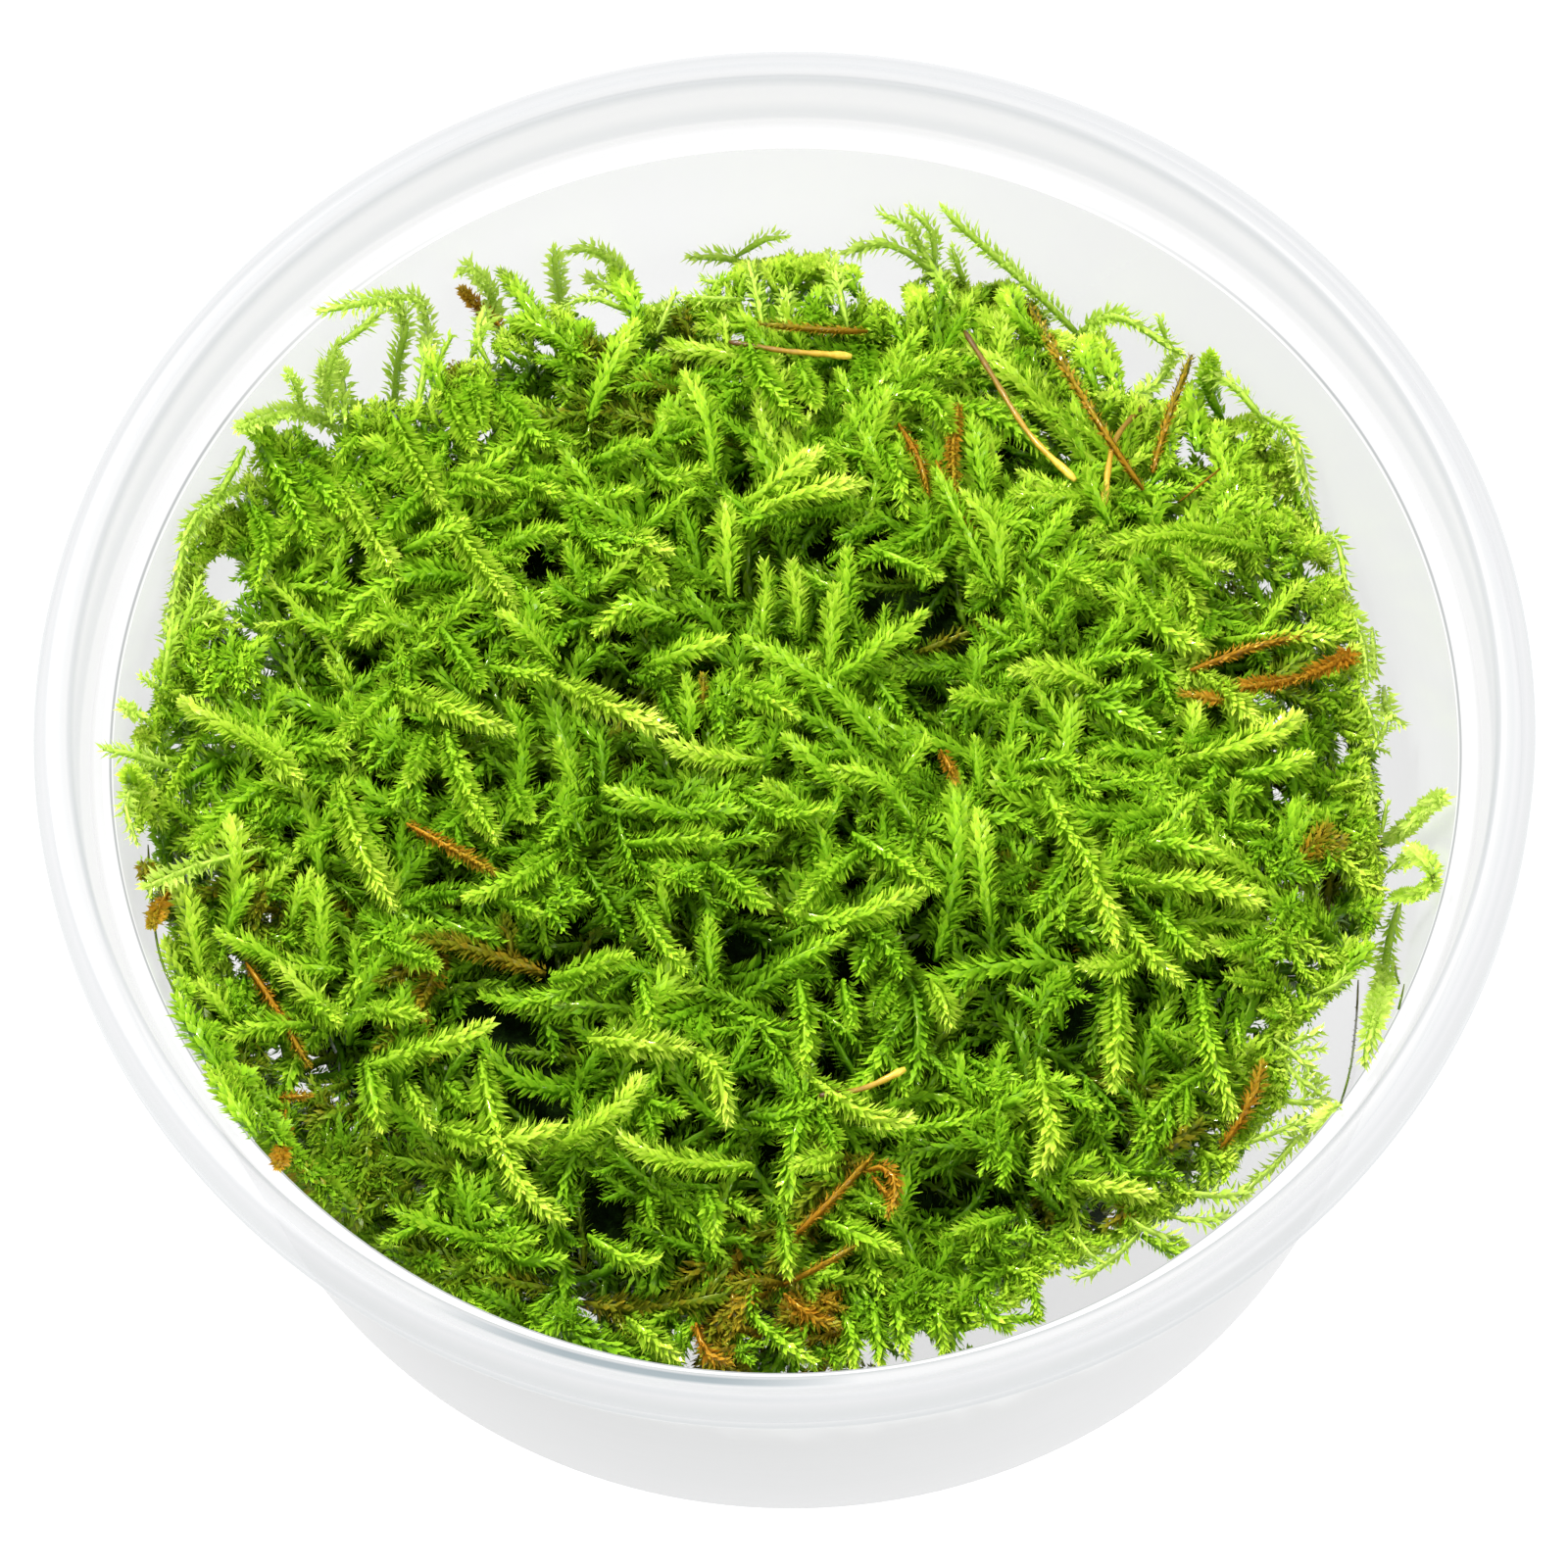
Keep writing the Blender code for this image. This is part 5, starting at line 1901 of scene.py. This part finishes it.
FRESH_SHOOTS: tuple[Route, ...] = (
    ((560, 350), (540, 312), (512, 278)), ((655, 350), (645, 310), (628, 276)),
    ((585, 360), (558, 336), (520, 324)), ((1062, 346), (1036, 320), (1028, 292)),
    ((1120, 402), (1110, 372), (1108, 346)), ((1360, 1000), (1380, 985), (1398, 966)),
    ((1165, 1260), (1190, 1272), (1214, 1278)), ((1000, 1322), (1010, 1342), (1030, 1356)),
    ((456, 410), (446, 385), (441, 362)), ((285, 465), (270, 447), (254, 434)),
    ((204, 1012), (182, 990), (170, 962)), ((302, 988), (262, 968), (224, 952)),
    ((318, 1046), (276, 1046), (236, 1056)), ((332, 1000), (328, 950), (325, 900)),
    ((296, 946), (304, 918), (316, 892)), ((292, 1132), (256, 1110), (224, 1092)),
    ((226, 1096), (198, 1050), (180, 1018)), ((262, 1160), (236, 1122), (212, 1090)),
    ((232, 960), (240, 925), (258, 898)), ((858, 1335), (870, 1362), (872, 1392)),
    ((892, 1330), (895, 1360), (898, 1390)), ((915, 1322), (918, 1352), (925, 1383)),
    ((955, 1325), (960, 1352), (962, 1378)), ((450, 490), (415, 515), (378, 558)),
    ((448, 508), (475, 555), (522, 615)), ((455, 485), (485, 487), (518, 500)),
    ((505, 485), (535, 492), (570, 505)), ((505, 400), (530, 425), (560, 455)),
    ((500, 565), (535, 548), (572, 540)), ((452, 395), (468, 425), (482, 455)),
    ((478, 385), (486, 410), (492, 435)), ((410, 562), (440, 548), (472, 533)),
    ((265, 450), (295, 500), (320, 555)), ((300, 470), (325, 495), (347, 522)),
    ((255, 510), (272, 550), (262, 595)), ((600, 430), (620, 380), (648, 330)),
    ((727, 490), (722, 430), (700, 382)), ((722, 430), (680, 425)),
    ((762, 340), (775, 380), (815, 430)), ((815, 370), (832, 412)), ((922, 400), (912, 362)),
    ((900, 405), (945, 405), (970, 440)), ((1005, 505), (992, 430)),
    ((1022, 600), (1015, 540), (985, 505)), ((1015, 600), (985, 540), (955, 480)),
    ((600, 472), (655, 452)), ((608, 505), (572, 455)), ((660, 470), (680, 490), (720, 477)),
    ((830, 450), (858, 478)), ((648, 545), (703, 503)), ((570, 520), (650, 500)),
    ((600, 610), (578, 555)), ((605, 605), (652, 555)), ((650, 560), (675, 592)),
    ((785, 620), (780, 575)), ((815, 640), (808, 575)), ((862, 640), (865, 562)),
    ((893, 560), (958, 588)), ((880, 470), (903, 405)), ((430, 650), (400, 632), (362, 648)),
    ((450, 640), (490, 700)), ((405, 700), (350, 750)), ((350, 650), (302, 625)),
    ((455, 745), (472, 800), (505, 855)), ((435, 750), (418, 795)), ((345, 845), (305, 862)),
    ((322, 905), (325, 965)), ((570, 870), (530, 895), (478, 915)), ((505, 915), (545, 930)),
    ((520, 800), (540, 835)), ((570, 680), (540, 645), (510, 625)), ((500, 680), (560, 690)),
    ((310, 755), (350, 760)), ((390, 960), (445, 985)), ((350, 990), (280, 985)),
    ((690, 630), (645, 615), (608, 645)), ((660, 680), (690, 668), (738, 652)),
    ((695, 760), (705, 740), (700, 690)), ((778, 650), (780, 605)), ((815, 650), (815, 605)),
    ((905, 765), (850, 705), (762, 652)), ((838, 698), (885, 670), (942, 626)),
    ((845, 690), (852, 600)), ((750, 700), (780, 712), (812, 730)),
    ((870, 810), (835, 780), (802, 752)), ((935, 845), (900, 795), (848, 785)),
    ((810, 825), (782, 800)), ((755, 810), (800, 832), (845, 825)),
    ((710, 835), (670, 822), (620, 805)), ((640, 860), (732, 855)),
    ((870, 850), (910, 875), (955, 905)), ((880, 865), (845, 892), (815, 928)),
    ((725, 880), (780, 925)), ((650, 920), (670, 955), (698, 990)), ((725, 1000), (722, 940)),
    ((800, 930), (860, 938), (940, 910)), ((1010, 945), (1003, 890), (998, 830)),
    ((1000, 810), (995, 755)), ((1030, 720), (975, 708)), ((920, 790), (945, 755)),
    ((560, 1000), (640, 975)), ((790, 990), (860, 955)), ((590, 810), (570, 760)),
    ((1135, 540), (1108, 480)), ((1050, 570), (1090, 520)), ((1060, 570), (1120, 600)),
    ((1240, 600), (1200, 560)), ((1140, 400), (1118, 340)),
    ((1248, 428), (1232, 392), (1237, 362)), ((1222, 460), (1215, 395)),
    ((1070, 645), (1055, 620)), ((1072, 645), (1090, 612)),
    ((1160, 600), (1185, 640), (1225, 660)), ((1260, 790), (1295, 785), (1335, 772)),
    ((1180, 930), (1205, 960), (1220, 975)), ((1160, 860), (1205, 862), (1245, 875)),
    ((1290, 960), (1250, 968)), ((1255, 845), (1260, 800)), ((1258, 842), (1290, 842)),
    ((1215, 875), (1208, 838)), ((375, 1085), (380, 1120), (388, 1150)),
    ((455, 1105), (480, 1130)), ((415, 1105), (428, 1130), (440, 1150)),
    ((300, 1010), (325, 1030), (345, 1045)), ((375, 1030), (395, 1032), (430, 1035)),
    ((655, 1120), (695, 1135)), ((655, 1000), (665, 1050)), ((860, 1000), (870, 1045)),
    ((815, 1000), (822, 1045), (820, 1090)), ((840, 1245), (875, 1260), (915, 1275)),
    ((800, 1250), (803, 1275), (805, 1300)), ((600, 1260), (640, 1285), (670, 1285)),
    ((720, 1215), (728, 1240), (730, 1262)), ((745, 1225), (770, 1240)),
    ((765, 1340), (800, 1370), (830, 1390)), ((1035, 1240), (980, 1255)),
    ((1225, 1000), (1230, 1050), (1245, 1100), (1260, 1140)), ((1262, 1040), (1265, 1070)),
    ((1020, 1345), (1060, 1345)), ((1050, 1300), (1060, 1340)),
)

ARCH_SHOOTS: tuple[Route, ...] = (
    ((425, 418), (434, 370), (437, 335), (425, 305), (395, 303)), ((345, 352), (390, 318)),
    ((310, 420), (303, 395), (293, 380)),
    ((255, 490), (225, 507), (198, 528), (186, 560), (178, 605), (170, 650)),
    ((165, 705), (172, 660), (180, 612), (188, 575)), ((178, 660), (192, 625), (204, 590)),
    ((185, 640), (210, 628), (232, 618)), ((565, 345), (540, 305), (512, 275)),
    ((447, 372), (457, 345), (462, 342)), ((480, 365), (492, 338), (503, 312)),
    ((645, 305), (600, 282)), ((645, 320), (605, 302), (575, 312)), ((670, 340), (690, 297)),
    ((750, 262), (780, 243), (803, 241)), ((760, 305), (700, 303)), ((745, 290), (715, 285)),
    ((780, 340), (765, 268)), ((800, 340), (806, 258)), ((850, 310), (822, 262)),
    ((865, 335), (855, 290), (845, 258)), ((975, 310), (945, 260), (925, 230), (897, 217)),
    ((955, 270), (951, 235), (928, 212)), ((985, 290), (972, 252)), ((1190, 345), (1183, 323)),
    ((1150, 410), (1185, 385), (1198, 362)), ((1335, 505), (1350, 550)),
)

EDGE_SHOOTS: tuple[Route, ...] = (
    ((500, 372), (486, 346), (496, 318)), ((1340, 1015), (1362, 1006), (1380, 990)),
    ((1300, 1060), (1322, 1076), (1344, 1098)), ((1100, 1262), (1112, 1280), (1130, 1290)),
    ((1405, 760), (1412, 746), (1416, 732)), ((1350, 550), (1365, 552), (1375, 610)),
    ((1373, 610), (1383, 635), (1392, 665), (1395, 700)), ((1412, 700), (1415, 725), (1432, 740)),
    ((1400, 760), (1418, 768)), ((1410, 850), (1415, 820)),
    ((1415, 890), (1430, 878), (1445, 876)),
    ((1420, 915), (1445, 912), (1462, 900), (1458, 882), (1440, 865)),
    ((1305, 1070), (1325, 1060), (1348, 1052)), ((1310, 1080), (1330, 1070), (1350, 1070)),
    ((1310, 1080), (1320, 1095), (1340, 1110), (1350, 1102)),
    ((1300, 1120), (1330, 1125), (1355, 1120)),
    ((1365, 1128), (1340, 1150), (1320, 1165), (1305, 1185), (1280, 1205), (1265, 1225)),
    ((1250, 1175), (1300, 1155), (1345, 1138)), ((1190, 1240), (1225, 1245), (1260, 1240)),
    ((1200, 1215), (1250, 1220), (1275, 1215)), ((1150, 1240), (1170, 1255), (1205, 1265)),
    ((1165, 1255), (1140, 1280), (1110, 1300), (1095, 1305)), ((352, 432), (350, 395), (342, 362)),
    ((338, 432), (336, 402), (328, 372)), ((270, 865), (205, 882), (148, 905)),
    ((150, 780), (128, 820), (140, 860)), ((165, 705), (145, 690)), ((150, 735), (125, 720)),
    ((1400, 640), (1403, 690)), ((1385, 700), (1400, 735), (1405, 755)),
    ((1390, 780), (1402, 815)),
)

# Shoots that stand clear of the cushion against the wall, in the CAD source's order.
LOOSE_SHOOTS: tuple[Route, ...] = (
    ((400, 430), (405, 370), (413, 330), (398, 308), (360, 310), (325, 318)),
    ((335, 432), (332, 385), (345, 350)), ((350, 440), (300, 420), (242, 437)),
    ((250, 455), (222, 505), (186, 550)), ((510, 345), (500, 300), (478, 272), (468, 280)),
    ((575, 345), (570, 300), (566, 255)), ((648, 310), (632, 275), (605, 253), (580, 257)),
    ((770, 272), (740, 262), (703, 262)), ((990, 330), (950, 275), (905, 248), (862, 258)),
    ((1105, 345), (1060, 300), (1015, 260), (962, 213)), ((1095, 345), (1140, 322), (1207, 362)),
    ((1290, 430), (1262, 395), (1225, 375)), ((1290, 425), (1318, 440), (1328, 470), (1335, 505)),
    ((1415, 860), (1440, 840), (1455, 825), (1470, 812)),
    ((1428, 922), (1417, 962), (1412, 1005), (1402, 1042), (1391, 1088)),
)

OLD_SHOOTS: tuple[Route, ...] = (
    ((510, 332), (490, 315), (470, 295)), ((415, 840), (505, 890)),
    ((1392, 663), (1370, 672), (1350, 682), (1325, 692)), ((1325, 692), (1290, 698), (1250, 702)),
    ((1260, 720), (1240, 712), (1205, 708)), ((710, 1350), (720, 1380), (745, 1390)),
    ((880, 1195), (905, 1190), (915, 1215), (905, 1240)), ((890, 1200), (915, 1230)),
    ((800, 1320), (830, 1345), (855, 1352)), ((835, 1325), (860, 1335)),
    ((175, 905), (165, 920), (155, 945)), ((292, 1130), (290, 1160), (285, 1190)),
    ((285, 1120), (315, 1118)), ((955, 470), (990, 545)), ((978, 412), (972, 460), (975, 500)),
    ((960, 765), (975, 795)), ((716, 725), (718, 690)),
    ((1245, 1172), (1262, 1148), (1278, 1118), (1289, 1085)), ((178, 645), (177, 625), (180, 605)),
)

BARE_SHOOTS: tuple[Route, ...] = (
    ((1167, 500), (1130, 445), (1090, 380), (1045, 305)), ((1176, 482), (1192, 425), (1216, 362)),
    ((885, 338), (830, 335), (775, 330)), ((800, 1310), (840, 1290), (880, 1266)),
)

WALL_FIBRES: tuple[Route, ...] = (
    ((1386, 1000), (1384, 1040), (1378, 1090), (1368, 1126)),
    ((151, 862), (154, 910), (163, 975), (185, 1026)), ((1424, 985), (1425, 995), (1428, 1004)),
    ((1433, 1004), (1430, 1018), (1427, 1030)),
)

NEEDLES: tuple[Route, ...] = (((1203, 512), (1224, 495), (1245, 478)),)

PHOTO_SHOOTS: tuple[ShootKind, ...] = (
    ShootKind(Age.FRESH, 2.0, 1.05, 0.95, 1.0, FRESH_SHOOTS),
    ShootKind(Age.BRIGHT, 2.1, 1.05, 0.95, 1.0, BRIGHT_SHOOTS),
    ShootKind(Age.PALE, 1.55, 1.15, 0.65, 0.7, EDGE_SHOOTS),
    ShootKind(Age.PALE, 1.4, 0.9, 0.8, 0.75, ARCH_SHOOTS),
    ShootKind(Age.DEAD, 1.5, 1.0, 0.7, 0.8, OLD_SHOOTS),
    ShootKind(Age.DYING, 0.95, 0.8, 1.1, 0.55, BARE_SHOOTS),
    ShootKind(Age.OLIVE, 0.36, 1.0, 1.0, 0.02, WALL_FIBRES, on_wall=True),
    ShootKind(Age.DEAD, 0.4, 1.0, 1.0, 0.02, NEEDLES),
)


@dataclass
class LooseShoots:
    """The shoots that stand clear of the cushion, each in place of its CAD solid."""

    sight: Sight
    leaf: LeafPattern
    width: float = 1.55
    opening: float = 0.9
    body: float = 0.8
    leafy: float = 0.8
    lift: float = -20.0
    ledge_azimuth: float = math.radians(179)
    ledge_route: tuple[tuple[float, float], ...] = ((41.6, 37.6), (44.0, 40.0), (46.0, 41.0))

    def build(self, finish: bpy.types.Material) -> None:
        """Grows the loose shoots.

        Args:
            finish: The leaves' material.
        """
        lines = [
            smooth_line(np.array([self.sight.place(p, self.lift) for p in route]), 0.7)
            for route in LOOSE_SHOOTS
        ]
        turn = np.array([math.cos(self.ledge_azimuth), math.sin(self.ledge_azimuth)])
        corners = np.array([[*(out * turn), height] for out, height in self.ledge_route])
        lines.append(smooth_line(corners, 0.7))
        for number, line in enumerate(lines, 1):
            grower = ShootGrower(self.leaf, 300 + number, *YOUNG_LEAVES)
            grower.grow(
                Shoot(line, Age.PALE.value, self.width, 1.05, self.leafy, self.opening, self.body)
            )
            piece = grower.build(f"leafy_shoot_{number}", finish)
            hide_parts(f"loose_shoot_{number}")


@dataclass
class DeadStems:
    """The dead orange stems that lie on the cushion, each in place of its CAD solid."""

    mound: Mound
    leaf: LeafPattern
    radius: float = 0.31
    rest: float = 0.45
    thin: float = 0.2
    bare: tuple[int, ...] = (1, 2, 3, 7)
    seed: int = 400
    leaf_length: float = 0.85
    leaf_width: float = 0.3
    leafy_width: float = 1.15
    leafy_share: float = 0.7
    corners: tuple[tuple[Pixel, ...], ...] = (
        ((14, 34), (17.5, 26), (21, 21)), ((26.5, 28.5), (24, 24.5), (22.8, 19)),
        ((-2.5, 33), (1.5, 32), (6, 31.5)), ((28, 6), (32, 8), (36.5, 9.5)),
        ((9, 25.5), (10.2, 22.5), (10.8, 19.5)), ((-1, -33.5), (2, -31), (4.5, -28.5)),
        ((1, -24.5), (4, -24), (7, -22.8)), ((-37, -13), (-35, -16.5), (-33, -20.5)),
    )

    def build(self, finish: bpy.types.Material, leaf_finish: bpy.types.Material) -> None:
        """Makes the dead stems.

        Args:
            finish: The stems' material.
            leaf_finish: The material of the dead leaves on the leafy ones.
        """
        for number, corners in enumerate(self.corners, 1):
            flat = smooth_line(np.array([[x, y, 0.0] for x, y in corners]), 0.5)
            height = self.mound.height(flat[:, 0], flat[:, 1])
            line = np.column_stack([flat[:, :2], height + self.rest + self.radius])
            if number in self.bare:
                piece = self.tube(f"bare_stem_{number}", line)
                piece.data.materials.append(finish)
            else:
                grower = ShootGrower(
                    self.leaf,
                    self.seed + number,
                    leaf_length=self.leaf_length,
                    leaf_width=self.leaf_width,
                )
                shoot = Shoot(line, Age.DEAD.value, self.leafy_width, 0.9, self.leafy_share)
                grower.grow(shoot)
                piece = grower.build(f"dead_leafy_stem_{number}", leaf_finish)
            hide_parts(f"dead_stem_{number}")
            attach(piece, "root")

    def tube(self, name: str, line: np.ndarray) -> bpy.types.Object:
        """Makes one stem with a rounded tip and leaf scars.

        Args:
            name: The piece's name.
            line: The stem's line in millimetres.

        Returns:
            The stem.
        """
        sides = 8
        tangent = unit(np.gradient(line, axis=0))
        upward = np.array([0.0, 0.0, 1.0])
        side = unit(np.cross(tangent, upward))
        normal = np.cross(side, tangent)
        share = np.linspace(0, 1, len(line))
        radius = self.thin * (1 + 0.14 * np.sin(share * 37) + 0.7 * share**6)
        radius[[0, -1]] *= 0.55
        turns = np.arange(sides) * 2 * math.pi / sides
        ring = (
            line[:, None, :]
            + (radius[:, None] * np.cos(turns))[:, :, None] * side[:, None, :]
            + (radius[:, None] * np.sin(turns))[:, :, None] * normal[:, None, :]
        )
        count = len(line)
        points = np.vstack([ring.reshape(-1, 3), line[:1], line[-1:]])
        first, last = count * sides, count * sides + 1
        faces = []
        for i in range(count - 1):
            for j in range(sides):
                a, b = i * sides + j, i * sides + (j + 1) % sides
                faces += [(a, b, a + sides), (b, b + sides, a + sides)]
        for j in range(sides):
            faces.append((first, (j + 1) % sides, j))
            faces.append((last, (count - 1) * sides + j, (count - 1) * sides + (j + 1) % sides))
        chart = np.empty((len(points), 2))
        chart[:-2, 0] = np.repeat(share, sides)
        chart[:-2, 1] = np.tile(np.arange(sides) / sides, count)
        chart[-2], chart[-1] = (0.0, 0.5), (1.0, 0.5)
        return joined_mesh(name, points, np.array(faces), chart)


def write_sizes() -> None:
    """Updates the view layer.
    """
    bpy.context.view_layer.update()


def main() -> None:
    """Builds the scene in order."""
    logging.basicConfig(level=logging.INFO, format="%(name)s: %(message)s")
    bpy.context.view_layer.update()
    camera, mound, cup = PhotoCamera(), Mound(), CupShape()
    camera.build()
    Studio().build()
    cup.build()
    sight = Sight(camera, mound, cup)
    leaf = LeafPattern()
    leaf_finish = LeafFinish().build()
    # The young shoots' leaves have a painted glow.
    young_painted_glow_finish = LeafFinish("young_moss_leaf_painted_glow", YOUNG_FEET, YOUNG_TIPS, painted_glow=0.18).build()
    MossCushion(mound, sight, leaf).build(leaf_finish, young_painted_glow_finish)
    LooseShoots(sight, leaf).build(young_painted_glow_finish)
    DeadStems(mound, leaf).build(DeadStemFinish().build(), leaf_finish)
    write_sizes()


if __name__ == "__main__":
    main()
